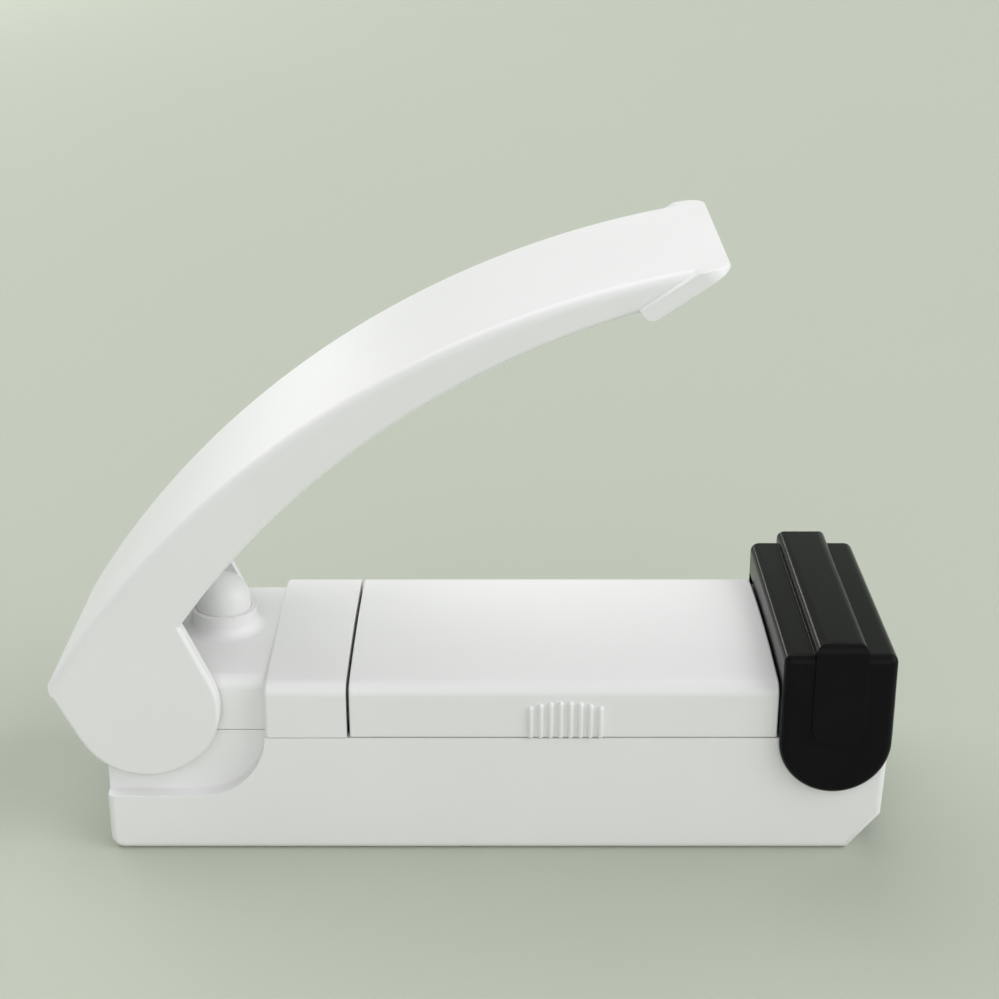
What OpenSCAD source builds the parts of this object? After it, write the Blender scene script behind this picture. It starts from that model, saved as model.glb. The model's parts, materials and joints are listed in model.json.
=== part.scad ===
// Handheld bag sealer: a battery heated head at the front of a slim body,
// and a sprung pressing arm that is hinged at the rear.
// +X points to the front, +Z up, and the origin is the middle of the underside.

/* [Body] */
// Length of the base
body_l = 101.8; // [100:0.2:112]
// Width over the side walls
body_w = 34; // [33.6:0.2:40]
// Height of the base up to the seam
base_h = 16.6; // [16:0.2:20]
// Height of the upper casings above the seam, at the crown
upper_h = 8.4; // [8:0.1:10]
// Fall of the crowned top from the middle to the side walls
crown = 0.8; // [0.4:0.1:1.2]
// Radius of the shoulders of the upper casings
shoulder_r = 2.4; // [1.6:0.1:3]
// Thickness of the casing walls
wall = 1.6; // [1.2:0.1:1.8]
// Thickness of the base floor
floor_t = 1.6; // [1.2:0.1:2]
// Radius of the base's lower edges along its sides
edge_r = 1; // [0.6:0.1:1.6]
// Radius of the base's lower edge at the rear
rear_r = 1.8; // [1:0.1:2.4]
// Length of the chamfer under the nose
nose_cut_l = 4.6; // [2:0.2:6]
// Height of the chamfer under the nose
nose_cut_h = 5.1; // [2:0.1:6]
// Lean of the front end, from the seam to the chamfer
nose_lean = 0.4; // [0.2:0.1:0.8]
// Seam between the base and the upper casings
seam = 0.12; // [0.08:0.02:0.2]
// Gap at each end of the battery cover
cover_gap = 0.4; // [0.3:0.05:0.6]

/* [Rear casing] */
// Length from the rear end to the step in front of the neck
neck_l = 21; // [20.4:0.1:22]
// How far the neck and its recess in the base lie inside the outer faces of the arm's cheeks
cheek_recess = 2.1; // [2.1:0.1:2.6]
// Drop of the neck's top below the casing's top
neck_drop = 0.2; // [0.1:0.1:1]
// Radius of the neck's shoulders
neck_r = 2; // [1.8:0.1:4]
// Height of the ledge below the hinge axis
ledge_drop = 12.5; // [11.5:0.1:13]
// Radius of the recess's lower front corner
recess_r = 9; // [7:0.1:9.5]

/* [Hinge] */
// Distance of the hinge axis from the rear end
hinge_inset = 5.9; // [5.6:0.1:6.4]
// Height of the hinge axis above the seam
hinge_rise = 3.9; // [3.6:0.1:4.2]
// Diameter of the hinge pin
pin_d = 3; // [2.6:0.1:3.2]
// Radial clearance of the pin in the neck
pin_fit = 0.04; // [0.02:0.01:0.08]
// Wire of the return spring
return_wire = 0.8; // [0.6:0.05:0.9]
// Coils of the return spring
return_turns = 5; // [4:1:6]
// Pitch of the return spring
return_pitch = 1.4; // [1.35:0.05:1.6]

/* [Arm] */
// Angle that the open arm stands above its sealing position
open_angle = 34.2; // [28:0.1:36]
// Width over the arm's sides
arm_w = 33.6; // [33:0.1:33.8]
// Radius of the arm's top, seen from the side
arm_top_r = 122.4; // [114:0.2:130]
// Radius of the arm's lower edge, seen from the side
arm_low_r = 107.8; // [100:0.2:118]
// Thickness of the arm's top skin
arm_skin = 1.8; // [1.4:0.1:2]
// Thickness of the arm's sides and cheeks
cheek_t = 1.9; // [1.5:0.1:1.9]
// Radius of the arm's top edges
arm_edge_r = 1.3; // [0.8:0.1:1.6]
// Radius of the round cheeks
cheek_r = 9.4; // [8.5:0.1:10]
// Distance that the cheeks reach further back than round
cheek_back = 0.5; // [0.2:0.1:0.8]
// Distance of the heel behind the hinge axis, with the arm down
heel_back = 8.7; // [7.8:0.1:9]
// Height of the heel above the hinge axis, with the arm down
heel_up = 9.6; // [9.2:0.1:10.5]
// Distance of the throat in front of the hinge axis, with the arm down
throat_fwd = 10.75; // [10.4:0.05:12]
// Height of the throat above the hinge axis, with the arm down
throat_up = 6.9; // [6.5:0.1:8]

/* [Jaw] */
// Length of the jaw plate from heel to tip
jaw_l = 11.7; // [11:0.1:12.5]
// Reach of the jaw plate in front of the heating ribbon
jaw_reach = 4.3; // [4:0.1:4.8]
// Width of the jaw plate across the body
jaw_w = 36; // [34.6:0.1:37]
// Thickness of the jaw plate
jaw_t = 1.8; // [1.6:0.1:2.4]
// Width of the sealing pad
pad_w = 4; // [3.4:0.1:4.4]
// Depth of the pad's groove
pad_seat = 0.7; // [0.5:0.1:0.8]
// Height that the pad stands out of the jaw
pad_proud = 1; // [0.8:0.1:1.6]
// Gap between pad and tape with the arm down, filled by the bag
seal_gap = 1; // [0.4:0.1:1.2]

/* [Heating head] */
// Length of the head and of the cap over it
head_l = 14.5; // [14.2:0.1:15.2]
// Height of the head's shoulders above the seam
head_h = 6.8; // [6:0.1:6.9]
// Height of the ribbon's bar above the seam
bar_h = 9.3; // [8.7:0.1:9.3]
// Width of the ribbon's bar
bar_w = 4.6; // [4:0.1:4.8]
// Width of the heating ribbon
ribbon_w = 3; // [2:0.1:3.2]
// Thickness of the heating ribbon
ribbon_t = 0.15; // [0.1:0.01:0.2]
// Thickness of the non-stick tape
tape_t = 0.2; // [0.15:0.01:0.25]

/* [Safety cap] */
// Height of the cap's pivot above the seam
pivot_rise = 0.3; // [0.2:0.1:0.6]
// Height of the cap's side ridges above the pivot
cap_h = 12.2; // [12:0.1:13]
// Height of the middle ridge above the pivot
ridge_h = 14.4; // [13.8:0.1:15]
// Width of the middle ridge
ridge_w = 6.8; // [6:0.1:7.4]
// Height of the middle ridge's lower ends below the pivot
ridge_foot = 0.2; // [0:0.1:3]
// Distance that the middle ridge stands out of the cheeks
ridge_proud = 0.3; // [0.2:0.05:0.5]
// Thickness of the cap's end walls
cap_wall = 1.1; // [0.9:0.05:1.2]
// Thickness of the cap's cheeks
cap_cheek = 1.5; // [1.2:0.1:1.8]
// Depth of the cap's rear skirt
skirt_h = 4.5; // [3.5:0.1:4.6]
// Gap between the cap's cheeks and the body
cap_gap = 0.2; // [0.15:0.05:0.3]
// Diameter of the cap's pivot stubs
stub_d = 4; // [3:0.1:4.4]

/* [Button and switch] */
// Distance of the button in front of the hinge axis
button_fwd = 8.2; // [8:0.1:8.6]
// Diameter of the domed button
button_d = 7.3; // [6.8:0.1:7.4]
// Width of the collar's rim round the button
collar_t = 0.75; // [0.6:0.05:0.9]
// Height of the collar above the neck
collar_h = 2.8; // [2.4:0.1:3]
// Travel of the button
button_travel = 1.5; // [1:0.1:1.6]
// Wire of the button's spring
button_wire = 0.5; // [0.4:0.05:0.6]
// Length of the switch
switch_l = 12.8; // [12:0.1:13.4]
// Width of the switch
switch_w = 5.8; // [5.4:0.1:6.4]
// Height of the switch
switch_h = 6.5; // [6:0.1:7]

/* [Cells] */
// Diameter of a cell
cell_d = 14.2; // [13.6:0.1:14.3]
// Length of a cell with its stud
cell_l = 50.5; // [49.5:0.1:50.5]
// Drop of the cells' axis below the seam
cell_drop = 1.1; // [0.9:0.1:1.5]
// Length of the contact springs between plate and cell
contact_l = 4.2; // [4:0.1:4.8]
// Thickness of the contact plates
contact_t = 0.5; // [0.3:0.05:0.6]
// Wire of the contact springs
contact_wire = 0.6; // [0.5:0.05:0.7]
// Thickness of the tray under the cells
tray_t = 1.4; // [1:0.1:1.6]
// Diameter of the leads over their insulation
lead_d = 1.4; // [1:0.1:1.6]

/* [Fasteners] */
// Shank diameter of the case screws
screw_d = 2.2; // [1.8:0.1:2.4]
// Head diameter of the case screws
screw_head_d = 4.2; // [3.8:0.1:4.6]
// Distance of the rear screws from the middle of the body
screw_out = 10.5; // [9.5:0.1:11]
// Distance of the head's screws from the sides of the body
head_screw_out = 12; // [11.8:0.1:12.4]
// Shank diameter of the terminal screws
lug_screw_d = 1.6; // [1.2:0.1:1.8]

/* [Grip] */
// Number of grip ribs on each side of the battery cover
rib_count = 8; // [5:1:9]
// Spacing of the grip ribs
rib_pitch = 1.28; // [1.1:0.02:1.5]
// Width of a grip rib
rib_w = 0.7; // [0.5:0.05:0.9]
// Height of the outer grip ribs
rib_low = 4.2; // [3.5:0.1:4.4]
// Height of the middle grip ribs
rib_high = 5.3; // [4.8:0.1:5.4]
// Distance of the grip's middle from the rear end of the battery cover
grip_fwd = 27.8; // [20:0.2:36]

/* [Hidden] */
$fn = 64;

// Clearances and small shared sizes
fit = 0.15;
slack = 0.25;
slide_fit = 0.05;
touch = 0.02;
over = 1;

// Main planes
x_rear = -body_l / 2;
x_front = body_l / 2;
half_w = body_w / 2;
inner_w = body_w - 2 * wall;
top_z = base_h + upper_h;
upper_z = base_h + seam;
head_x = x_front - head_l;
cover_front = head_x - cover_gap / 2;
compartment_l = cell_l + contact_l + 2 * contact_t;
casing_x = head_x - compartment_l;
cover_rear = casing_x + cover_gap;

// Neck and hinge
neck_x = x_rear + neck_l;
neck_w = arm_w - 2 * cheek_recess;
neck_top = top_z - neck_drop;
neck_roof = neck_top - wall;
hinge_x = x_rear + hinge_inset;
hinge_z = base_h + hinge_rise;
ledge_z = hinge_z - ledge_drop;
pin_boss_r = pin_d / 2 + 1.6;
pin_boss_l = 3;
return_r = pin_d / 2 + 0.3 + return_wire / 2;
pin_seat = cheek_t - 0.6;
pin_l = arm_w - 2 * cheek_t + 2 * pin_seat;

// Cap, heating head and their pivot
cap_r = head_l / 2;
pivot_x = x_front - cap_r;
pivot_z = base_h + pivot_rise;
bar_z = base_h + bar_h - ribbon_t - tape_t - touch;
ribbon_z = bar_z + touch / 2;
tape_top = base_h + bar_h;
ear_r = stub_d / 2 + 2;
head_roof = base_h + 3;
cap_inner = half_w + cap_gap;
stub_l = wall + 0.6;
leg_y = half_w - stub_l - 1.8;
leg_drop = 4;
lug_w = 4.4;
lug_t = 0.6;
lug_l = 4.6;
lug_face = leg_y - ribbon_t / 2 - touch;
lug_z = head_roof - lug_t - touch;
lug_screw_y = lug_face - lug_l + 1.9;
lug_head_d = 2 * lug_screw_d;
lug_head_t = 1;

// Arm in its sealing position, measured from the hinge axis
jaw_under = tape_top + seal_gap + pad_proud - hinge_z;
jaw_tip = pivot_x + jaw_reach - hinge_x;
jaw_heel = jaw_tip - jaw_l;
pad_mid = pivot_x - hinge_x;
pad_len = jaw_w - 7;
tip_rise = 0.5;
jaw_root = [jaw_heel - 1.2, jaw_under + 1.9];
root_fwd = 2;
tip_back = 1.5;
heel = [-heel_back, heel_up];
throat = [throat_fwd, throat_up];
tip = [jaw_tip, jaw_under + tip_rise];
top_mid = arc_centre(heel, tip, arm_top_r);
low_mid = arc_centre(throat, jaw_root, arm_low_r);
channel_depth = heel_up + 2 * cheek_r;

// Button, switch and their spring
button_x = hinge_x + button_fwd;
collar_top = neck_top + collar_h;
dome_z = collar_top + 1;
dome_top = dome_z + button_d / 2;
flange_d = button_d + 1.2;
flange_t = 1;
flange_clear = 0.4;
flange_z = neck_roof - flange_clear - flange_t;
push_d = 2.4;
switch_z = base_h - 1.9 - switch_h;
switch_top = switch_z + switch_h;
plunger_d = 1.8;
plunger_h = 1;
push_z = switch_top + plunger_h + button_travel + 0.2;
peg_d = 1.8;

// Lowest position of the arm: the pad rests just above the cap's closed ridge
cap_clear = 0.5;
rest_ridge = pivot_z + ridge_h + cap_clear - hinge_z;
pad_low = jaw_under - pad_proud;
pad_back = pad_mid - pad_w / 2;
stop_angle = asin(rest_ridge / norm([pad_back, pad_low])) - atan2(pad_low, pad_back);
close_angle = open_angle - stop_angle;

// Cells
cell_z = base_h - cell_drop;
cell_y = cell_d / 2 + 0.2;
cell_bed_r = cell_d / 2 + slack;
tray_z = cell_z - cell_bed_r - tray_t;
tray_top = cell_z - 2.4;
stud_d = 5.5;
stud_l = 1;
plate_w = cell_d - 2;
plate_z0 = tray_z + tray_t;
tray_clear = 0.95;
plate_z1 = cell_z + cell_d / 2 - 0.8;

// Switch blades and lead ends
blade_x = button_x + switch_l / 2;
blade_l = 3;
blade_t = 0.5;
blade_y = 1.6;
blade_z = switch_z + 2.5;
tail_y = cell_y - 3.3;
tail_z = tray_z - lead_d / 2 - tray_clear;
run_z = floor_t + 1.8;
lug_lead_y = -(lug_face - lug_t - lead_d / 2 - touch);
lug_lead_z = head_roof - leg_drop;

// Screws
boss_r = screw_d / 2 + 1.7;
boss_split = base_h - 6;
head_seat = floor_t + 1.2;
screw_head_t = 1.4;
screw_len = boss_split - head_seat + 5;
rear_screw_x = (neck_x + casing_x - wall) / 2;
rear_screws = [for (s = [-1, 1]) [rear_screw_x, s * screw_out]];
head_screw_y = half_w - head_screw_out;
head_screws = [for (s = [-1, 1]) [pivot_x, s * head_screw_y]];
screw_spots = concat(rear_screws, head_screws);

// Centre of an arc of radius r that bulges upwards from p to q
function arc_centre(p, q, r) =
    let (half = (q - p) / 2, run = norm(half), side = [half[1], -half[0]] / run)
    p + half + side * sqrt(r * r - run * run);

// Point of contact of the tangent from p to a circle of radius r round the origin
function tangent_point(p, r, side) =
    let (a = atan2(p[1], p[0]) + side * acos(r / norm(p)))
    [r * cos(a), r * sin(a)];

// Turns a tube's route into rings of points, carrying one normal along it
function unit(v) = v / norm(v);
function directions(p) = [for (i = [0:len(p) - 1]) unit(p[min(i + 1, len(p) - 1)] - p[max(i - 1, 0)])];
function square_to(n, t) = unit(n - (n * t) * t);
function normals(t) = [
    for (i = 0, n = square_to([0.31, 0.57, 0.76], t[0]); i < len(t);
         i = i + 1, n = i < len(t) ? square_to(n, t[i]) : n) n
];
function ring(c, t, n, r, sides) =
    [for (j = [0:sides - 1]) c + r * (cos(360 * j / sides) * n + sin(360 * j / sides) * cross(t, n))];

// Least distance between two strands of a wound route, half a turn or more apart
function least_gap(p, wire) =
    let (skip = 8)
    min([for (i = [0:len(p) - 1 - skip]) for (j = [i + skip:len(p) - 1]) norm(p[i] - p[j])]) - wire;

module tube(route, d, sides = 6) {
    t = directions(route);
    n = normals(t);
    last = len(route) - 1;
    points = [
        for (i = [0:last]) each ring(route[i], t[i], n[i], d / 2, sides),
        route[0],
        route[last]
    ];
    first_mid = len(points) - 2;
    last_mid = len(points) - 1;
    walls = [
        for (i = [0:last - 1]) for (j = [0:sides - 1])
            let (k = (j + 1) % sides, a = i * sides, b = a + sides)
            each [[a + j, b + j, a + k], [a + k, b + j, b + k]]
    ];
    ends = [
        for (j = [0:sides - 1])
            let (k = (j + 1) % sides)
            each [[first_mid, j, k], [last_mid, last * sides + k, last * sides + j]]
    ];
    polyhedron(points, concat(walls, ends));
}

// Extrudes a side view, drawn in X and Z, across the body
module across(w) {
    rotate([90, 0, 0])
        linear_extrude(w, center = true)
            children();
}

// Extrudes a cross section, drawn in Y and Z, along the body
module along(x0, x1) {
    translate([x0, 0, 0])
        rotate([90, 0, 90])
            linear_extrude(x1 - x0)
                children();
}

module block(x, y, z) {
    translate([x[0], y[0], z[0]])
        cube([x[1] - x[0], y[1] - y[0], z[1] - z[0]]);
}

module post(x, y, z0, z1, d) {
    translate([x, y, z0])
        cylinder(d = d, h = z1 - z0);
}

module rod(x, z, y0, y1, d) {
    translate([x, y0, z])
        rotate([-90, 0, 0])
            cylinder(d = d, h = y1 - y0);
}

// Rectangle with its own radius at the lower and at the upper corners
module soft_rect(x0, y0, x1, y1, low, high) {
    translate([x0, y0 + low])
        square([x1 - x0, y1 - y0 - low - high]);
    for (row = [[y0, low, 1], [y1, high, -1]])
        if (row[1] > 0) {
            translate([x0 + row[1], min(row[0], row[0] + row[2] * row[1])])
                square([x1 - x0 - 2 * row[1], row[1]]);
            for (x = [x0 + row[1], x1 - row[1]])
                translate([x, row[0] + row[2] * row[1]])
                    circle(row[1]);
        }
}

// Crowned cross section of the upper casings, down to z0
module roof_section(w, top, r, z0) {
    rise = (w * w / 4 + crown * crown) / (2 * crown);
    intersection() {
        soft_rect(-w / 2, z0, w / 2, top, 0, r);
        translate([0, top - rise])
            circle(rise, $fn = 128);
    }
}

module on_hinge() {
    translate([hinge_x, 0, hinge_z])
        children();
}

module arm_pose() {
    on_hinge()
        rotate([0, -open_angle, 0])
            children();
}

module on_pivot() {
    translate([pivot_x, 0, pivot_z])
        children();
}

module both_sides() {
    for (s = [0, 1])
        mirror([0, s, 0])
            children();
}

module at_screws(spots = screw_spots) {
    for (p = spots)
        translate([p[0], p[1], 0])
            children();
}

// Side view of the space that the arm's cheeks turn in
module cheek_space() {
    translate([x_rear - over, ledge_z])
        square([neck_l - recess_r + over, top_z]);
    translate([x_rear - over, ledge_z + recess_r])
        square([neck_l + over, top_z]);
    translate([neck_x - recess_r, ledge_z + recess_r])
        circle(recess_r);
}

// Side view of the base
module base_side() {
    difference() {
        soft_rect(x_rear, 0, x_front, base_h, rear_r, 0);
        polygon([
            [x_front - nose_cut_l, 0],
            [x_front - nose_cut_l, -over],
            [x_front + over, -over],
            [x_front + over, base_h + over],
            [x_front, base_h + over],
            [x_front, base_h],
            [x_front - nose_lean, nose_cut_h]
        ]);
    }
}

module base_outer() {
    intersection() {
        across(body_w)
            base_side();
        along(x_rear - over, x_front + over)
            soft_rect(-half_w, 0, half_w, base_h, edge_r, 0);
    }
}

module base_inner() {
    front_inner = x_front - wall;
    difference() {
        union() {
            block([neck_x + wall, front_inner], [-inner_w / 2, inner_w / 2], [floor_t, base_h + over]);
            block([x_rear + wall, neck_x + 2 * wall], [-neck_w / 2 + wall, neck_w / 2 - wall],
                  [floor_t, base_h + over]);
        }
        across(body_w)
            polygon([
                [front_inner - nose_cut_l, 0],
                [front_inner + over, 0],
                [front_inner + over, nose_cut_h + floor_t]
            ]);
    }
}

module base_shell() {
    color("whitesmoke")
        difference() {
            union() {
                difference() {
                    base_outer();
                    base_inner();
                }
                at_screws()
                    cylinder(r = boss_r, h = boss_split);
                for (x = [0.15, 0.5, 0.85])
                    both_sides()
                        post(casing_x + x * compartment_l, screw_out, floor_t - touch, tray_z, 4);
                switch_stand();
            }
            both_sides()
                translate([0, neck_w / 2 + body_w / 2, 0])
                    across(body_w)
                        cheek_space();
            rod(pivot_x, pivot_z, -half_w - over, half_w + over, 2 * ear_r + 2 * fit);
            at_screws() {
                translate([0, 0, -over])
                    cylinder(d = screw_head_d + 2 * fit, h = head_seat + over);
                translate([0, 0, -over])
                    cylinder(d = screw_d + 2 * fit, h = boss_split + 2 * over);
            }
        }
}

// Stand under the switch, with a back plate whose pegs pass through the switch
module switch_stand() {
    back_y = switch_w / 2 + touch;
    back_t = 1.6;
    block([button_x - switch_l / 2, button_x + switch_l / 2], [-switch_w / 2, back_y + back_t],
          [floor_t - touch, switch_z]);
    block([button_x - switch_l / 2, button_x + switch_l / 2], [back_y, back_y + back_t],
          [floor_t - touch, switch_top]);
    for (s = [-1, 1])
        rod(button_x + s * switch_l / 4, switch_z + switch_h / 4, -switch_w / 2 - touch, back_y + touch,
            peg_d);
}

module rear_casing() {
    tongue_z = tray_z + tray_t;
    tongue_w = inner_w - 2 * fit;
    color("whitesmoke")
        difference() {
            union() {
                difference() {
                    union() {
                        along(neck_x, casing_x)
                            roof_section(body_w, top_z, shoulder_r, upper_z);
                        neck_outer();
                    }
                    along(neck_x + wall, casing_x - wall)
                        roof_section(inner_w, top_z - wall, shoulder_r - wall / 2, -over);
                    along(x_rear + wall, neck_x + 2 * wall)
                        roof_section(neck_w - 2 * wall, neck_roof, neck_r - wall, -over);
                }
                post(button_x, 0, neck_roof + touch, collar_top, button_d + 2 * collar_t);
                block([casing_x - wall, casing_x], [-tongue_w / 2, tongue_w / 2],
                      [tongue_z, base_h + wall]);
                intersection() {
                    at_screws(rear_screws)
                        translate([0, 0, boss_split])
                            cylinder(r = boss_r, h = top_z - boss_split);
                    along(neck_x, casing_x)
                        roof_section(body_w - wall, top_z - wall / 2, shoulder_r, 0);
                }
                both_sides()
                    rod(hinge_x, hinge_z, neck_w / 2 - wall - pin_boss_l, neck_w / 2 - wall / 2,
                        2 * pin_boss_r);
            }
            rod(hinge_x, hinge_z, -half_w, half_w, pin_d + 2 * pin_fit);
            post(button_x, 0, 0, collar_top + over, button_d + 2 * slide_fit);
            spring_window();
            at_screws(rear_screws)
                translate([0, 0, boss_split - over])
                    cylinder(d = screw_d + slide_fit, h = over + head_seat + screw_len - boss_split + 0.5);
        }
}

module neck_outer() {
    back_r = 3;
    intersection() {
        along(x_rear, neck_x + touch)
            roof_section(neck_w, neck_top, neck_r, upper_z);
        across(body_w)
            soft_rect(x_rear, 0, neck_x + over + back_r, neck_top, 0, back_r);
    }
}

// Opening in the neck's top and rear for the return spring and its leg
module spring_window() {
    reach = return_r + return_wire / 2 + 0.3;
    half = return_turns * return_pitch / 2 + return_wire + 0.6;
    block([hinge_x - reach - 2.4, hinge_x + reach], [-half, half], [hinge_z, top_z + over]);
}

module battery_cover() {
    tab_h = 3;
    tab_l = 6;
    tab_t = 0.65;
    tab_y = inner_w / 2 - fit - tab_t;
    skirt = wall - 0.2;
    color("whitesmoke")
        union() {
            difference() {
                along(cover_rear, cover_front)
                    roof_section(body_w, top_z, shoulder_r, upper_z);
                along(cover_rear - over, cover_front + over)
                    roof_section(body_w - 2 * skirt, top_z - skirt, shoulder_r - skirt / 2, -over);
            }
            both_sides() {
                for (x = [cover_rear + tab_l, cover_front - 2 * tab_l])
                    block([x, x + tab_l], [tab_y, tab_y + tab_t], [base_h - tab_h, base_h + tab_l / 2]);
                for (x = [cover_rear + tab_l, cover_front - 2 * tab_l])
                    block([x, x + tab_l], [tab_y, half_w - skirt / 2], [upper_z + 0.6, base_h + tab_l / 2]);
                grip_ribs();
            }
        }
}

// Row of half round ribs, higher towards its middle
module grip_ribs() {
    row_x = cover_rear + grip_fwd;
    mid = (rib_count - 1) / 2;
    for (i = [0:rib_count - 1])
        post(row_x + (i - mid) * rib_pitch, half_w, upper_z,
             upper_z + rib_low + (rib_high - rib_low) * (1 - pow((i - mid) / mid, 2)), rib_w);
}

// Side view of the arm below its top: a band over the lower arc, and the cheeks
module arm_side() {
    reach = jaw_tip + over;
    meet_r = cheek_r - touch;
    difference() {
        translate([throat[0], 0])
            square([reach - throat[0], 3 * heel_up]);
        translate(low_mid)
            circle(arm_low_r, $fn = 256);
        polygon([
            [jaw_root[0], 0],
            jaw_root,
            [jaw_heel + root_fwd, jaw_root[1]],
            [jaw_heel + root_fwd, jaw_under + jaw_t / 3],
            [reach, jaw_under + jaw_t / 3],
            [reach, 0]
        ]);
    }
    polygon([
        tangent_point(throat, meet_r, -1),
        throat,
        [throat[0], 3 * heel_up],
        [heel[0] * 3, 3 * heel_up],
        heel,
        tangent_point(heel + [cheek_back, 0], meet_r, 1) - [cheek_back, 0],
        [-cheek_back, -meet_r],
        [0, -meet_r]
    ]);
    for (x = [0, -cheek_back])
        translate([x, 0])
            circle(cheek_r);
}

// Cross section of the arm's channel, out to the radius of its top
module arm_section() {
    r0 = arm_top_r - channel_depth;
    half = arm_w / 2;
    difference() {
        union() {
            translate([r0, -half])
                square([channel_depth - arm_edge_r, arm_w]);
            translate([r0, -half + arm_edge_r])
                square([channel_depth, arm_w - 2 * arm_edge_r]);
            for (s = [-1, 1])
                translate([arm_top_r - arm_edge_r, s * (half - arm_edge_r)])
                    circle(arm_edge_r);
        }
        translate([r0 - over, -half + cheek_t])
            square([channel_depth - arm_skin + over, arm_w - 2 * cheek_t]);
    }
}

module arm_channel() {
    tip_a = atan2(tip[1] - top_mid[1], tip[0] - top_mid[0]) - 1;
    heel_a = atan2(heel[1] - top_mid[1], heel[0] - top_mid[0]) + 12;
    intersection() {
        translate([top_mid[0], 0, top_mid[1]])
            rotate([90, 0, 0])
                rotate([0, 0, tip_a])
                    rotate_extrude(angle = heel_a - tip_a, $fn = 256)
                        arm_section();
        across(body_w + 2)
            intersection() {
                arm_side();
                translate([heel[0] * 3, -2 * cheek_r])
                    square([jaw_tip - tip_back - heel[0] * 3, 5 * cheek_r]);
            }
    }
}

// Jaw plate, with rounded ends and corners, under the top of the arm
module jaw_plate() {
    corner = 2;
    intersection() {
        across(jaw_w)
            intersection() {
                soft_rect(jaw_heel, jaw_under, jaw_tip, jaw_under + jaw_t, 0.8, 0.8);
                translate(top_mid)
                    circle(arm_top_r, $fn = 256);
            }
        translate([0, 0, jaw_under - over])
            linear_extrude(jaw_t + 2 * over)
                union() {
                    translate([jaw_heel + corner, -jaw_w / 2])
                        square([jaw_l - 2 * corner, jaw_w]);
                    translate([jaw_heel, -jaw_w / 2 + corner])
                        square([jaw_l, jaw_w - 2 * corner]);
                    for (x = [jaw_heel + corner, jaw_tip - corner], s = [-1, 1])
                        translate([x, s * (jaw_w / 2 - corner)])
                            circle(corner);
                }
    }
}

// Solid root of the jaw between the plate and the arm's skin
module jaw_root_fill() {
    across(arm_w - 2 * slide_fit)
        intersection() {
            polygon([
                jaw_root,
                [jaw_heel + 0.8, jaw_under + 0.1],
                [jaw_tip - tip_back, jaw_under + 0.3],
                [jaw_tip - tip_back, jaw_root[1] + 3],
                [jaw_root[0], jaw_root[1] + 3]
            ]);
            translate(top_mid)
                circle(arm_top_r - arm_skin / 2, $fn = 256);
        }
}

// Rib inside the arm that meets the pressed button at the end of the stroke
module arm_rib() {
    rib_half = 1;
    rib_span = 7;
    press = dome_top - button_travel - hinge_z;
    x = button_fwd * cos(stop_angle) + press * sin(stop_angle);
    z = press * cos(stop_angle) - button_fwd * sin(stop_angle) + 0.15;
    across(rib_span)
        intersection() {
            translate([x - rib_half, z])
                square([2 * rib_half, heel_up]);
            translate(top_mid)
                circle(arm_top_r - arm_skin / 2, $fn = 256);
        }
}

module arm() {
    groove = pad_w + 2 * slide_fit;
    color("whitesmoke")
        arm_pose()
            difference() {
                union() {
                    arm_channel();
                    jaw_plate();
                    jaw_root_fill();
                    arm_rib();
                }
                rod(0, 0, -pin_l / 2 - touch, pin_l / 2 + touch, pin_d + slide_fit);
                block([pad_mid - groove / 2, pad_mid + groove / 2],
                      [-pad_len / 2 - slide_fit, pad_len / 2 + slide_fit],
                      [jaw_under - over, jaw_under + pad_seat]);
            }
}

module jaw_pad() {
    color("lightgray")
        arm_pose()
            across(pad_len)
                soft_rect(pad_mid - pad_w / 2, jaw_under - pad_proud, pad_mid + pad_w / 2,
                          jaw_under + pad_seat - touch, 0.5, 0);
}

module safety_cap() {
    skirt_z = cap_h - skirt_h;
    roof = cap_h - cap_wall;
    outer = cap_inner + cap_cheek;
    edge = 1.2;
    color("black")
        on_pivot() {
            difference() {
                union() {
                    intersection() {
                        across(2 * outer)
                            soft_rect(-cap_r, skirt_z, cap_r, cap_h, 0, edge);
                        along(-cap_r - over, cap_r + over)
                            soft_rect(-outer, -2 * cap_r, outer, cap_h, 0, edge);
                    }
                    cap_ridge(outer + ridge_proud, edge);
                    both_sides()
                        translate([0, outer - cap_cheek / 2, 0])
                            across(cap_cheek) {
                                circle(cap_r);
                                translate([-cap_r, 0])
                                    square([2 * cap_r, skirt_z + touch]);
                            }
                }
                block([-cap_r + cap_wall, cap_r - cap_wall], [-cap_inner, cap_inner], [-2 * cap_r, roof]);
                block([-2 * cap_r, 2 * cap_r], [-cap_inner, cap_inner], [-2 * cap_r, skirt_z + touch]);
                block([0, 2 * cap_r], [-cap_inner, cap_inner], [-2 * cap_r, skirt_z + 0.5]);
            }
            both_sides()
                rod(0, 0, cap_inner - stub_l, cap_inner + touch, stub_d);
        }
}

// Middle ridge over the top and down both cheeks, with round lower ends
module cap_ridge(outer, edge) {
    intersection() {
        across(2 * outer)
            soft_rect(-ridge_w / 2, -ridge_foot, ridge_w / 2, ridge_h, 2 * edge, edge);
        along(-ridge_w, ridge_w)
            soft_rect(-outer, -ridge_w, outer, ridge_h, 0, 2 * edge);
    }
}

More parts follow.
